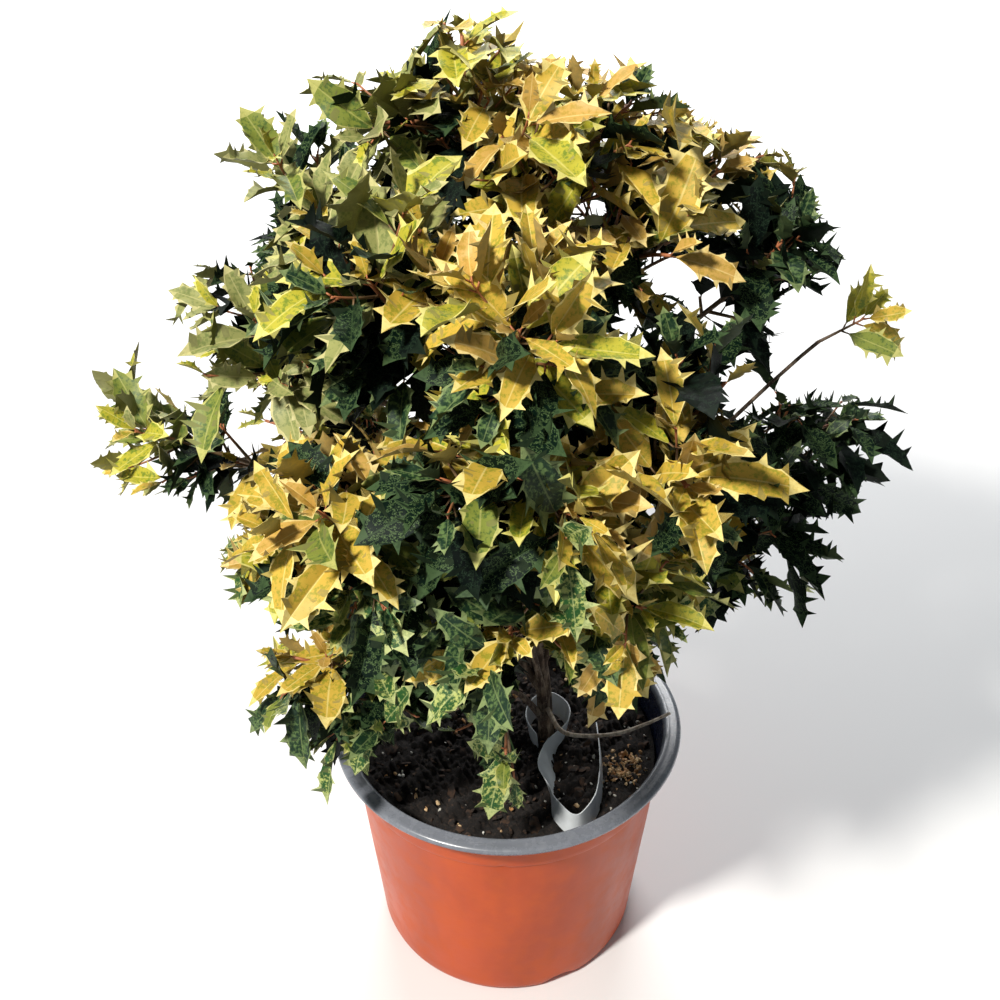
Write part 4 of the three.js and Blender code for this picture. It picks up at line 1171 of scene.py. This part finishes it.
# The leaf's faces, anticlockwise from outside, and the zone of each: 0 blade, 1 margin, 2 underside. Here
# and there the margin is missing, and the face has the blade's colour.
MARGIN_MISSING = 0.08
spans = rows // 2
left, right = np.arange(rows), np.arange(rows) + rows
edge_left, edge_right, midrib, keel = (np.arange(spans) + 2 * rows + spans * i for i in range(4))
foot, tip = per_leaf - 2, per_leaf - 1
leaf_faces = [
    (foot, left[0], edge_left[0]), (foot, edge_left[0], midrib[0]), (foot, midrib[0], edge_right[0]),
    (foot, edge_right[0], right[0]), (foot, keel[0], left[0]), (foot, right[0], keel[0]),
]
for i in range(spans - 1):
    a, b, c = 2 * i, 2 * i + 1, 2 * i + 2
    leaf_faces += [
        (left[a], left[b], left[c], edge_left[i + 1], edge_left[i]),
        (edge_left[i], edge_left[i + 1], midrib[i + 1], midrib[i]),
        (midrib[i], midrib[i + 1], edge_right[i + 1], edge_right[i]),
        (edge_right[i], edge_right[i + 1], right[c], right[b], right[a]),
        (left[a], keel[i], keel[i + 1], left[c], left[b]),
        (keel[i], right[a], right[b], right[c], keel[i + 1]),
    ]
leaf_faces += [
    (left[-2], left[-1], tip, edge_left[-1]), (edge_left[-1], tip, midrib[-1]),
    (midrib[-1], tip, edge_right[-1]), (edge_right[-1], tip, right[-1], right[-2]),
    (left[-2], keel[-1], tip, left[-1]), (keel[-1], right[-2], right[-1], tip),
]
leaf_faces = np.array([list(corners) + [-1] * (5 - len(corners)) for corners in leaf_faces])
zones = np.array([1, 0, 0, 1, 2, 2] * spans + [1, 1, 1, 1, 2, 2])
missing = (zones[None] == 1) & (rng.uniform(0, 1, (count, len(zones))) < MARGIN_MISSING)
leaf_slots = kinds[:, None] * 3 + np.where(missing, 0, zones[None])

# The kinds in each piece of foliage, as places in PALETTE. Each kind has three skins, one for each zone.
FOLIAGE = {"gold": (0, 1, 2), "lime": (3, 4), "green": (5, 6, 7, 8)}
for tint, members in FOLIAGE.items():
    mine = np.flatnonzero(np.isin(kinds, members))
    start = np.arange(len(mine))[:, None, None] * per_leaf
    faces = np.where(leaf_faces[None] >= 0, leaf_faces[None] + start, -1).reshape(-1, 5)
    slots = leaf_slots[mine].reshape(-1) - members[0] * 3
    skins = leaf_skins[members[0] * 3:members[-1] * 3 + 3]
    leaves = piece(f"foliage_{tint}", leaf_points[mine].reshape(-1, 3) * MM, faces, skins, slots=slots,
                   uv=leaf_uv[mine].reshape(-1, 2), sharp=50)
    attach(leaves, "root")
    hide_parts(*[f"leaves_{mass['name']}" for mass in masses.values() if mass["tint"] == tint])

# The stem label: a blank strip of pale plastic, looped round the trunk's foot, with a tail that runs to the
# front of the pot, turns there and comes back. It stands on edge, with the loop lifted a little, and tips
# over where the loop lets go of it.
LABEL_WIDTH, LABEL_HALF_THICKNESS = 19.0, 0.35
LOOP_RADIUS, LOOP_LIFT, LOOP_SHARE = 14, 14, 0.45
turns = -np.pi / 2 - np.arange(1, 12) / 12 * 2 * np.pi
loop_x = TRUNK_FOOT[0] + LOOP_RADIUS * np.cos(turns)
loop_y = TRUNK_FOOT[1] + LOOP_RADIUS * np.sin(turns)
tail = Spline((36, -14, 0), (35, -46, 0), (33, -76, 0), (47, -91, 0), (63, -76, 0), (71, -38, 0), (71, 2, 0))
route = [np.column_stack([loop_x, loop_y, np.zeros(11)]), tail.at(np.linspace(0, 1, 14))]
strip = Spline(*np.vstack(route))
t = np.linspace(0, 1, 160)
middle, along = strip.at(t), strip.tangent(t)
outside = unit(np.cross(along, UP))
# It leans most just past the loop and a little the other way elsewhere. Its foot rises and falls by 0.8 mm.
lean = 0.9 * np.exp(-(((t - 0.52) / 0.07) ** 2)) - 0.15
lift = LOOP_LIFT * np.clip(np.sin((t / LOOP_SHARE) * np.pi), 0, 1) * (t < LOOP_SHARE) + 0.8 * np.sin(t * 40)
upright = UP * np.cos(lean)[:, None] + outside * np.sin(lean)[:, None]
thick = unit(np.cross(along, upright)) * LABEL_HALF_THICKNESS
low = middle + UP * (SOIL_LEVEL + 1.2 + lift)[:, None]
rise = upright * LABEL_WIDTH
corners = [low + thick, low - thick, low - thick + rise, low + thick + rise]
label_points = np.stack(corners, axis=1).reshape(-1, 3)
last = len(label_points) - 4
caps = np.array([[3, 2, 1, 0], [last, last + 1, last + 2, last + 3]])
label_skin, shader, tone = material("label_plastic", 0.4)
grubby = noise(tone, 90, 4.0, 0.6).step(0.4, 0.8)
drive(shader, "Base Color", (grubby * 0.3).mix(colour(232, 238, 242), colour(190, 194, 194)))
label_faces = np.vstack([ring_faces(len(t), 4), caps])
label = piece("stem_label_strip", label_points * MM, label_faces, [label_skin], sharp=40)
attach(label, "root")
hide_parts("stem_label")
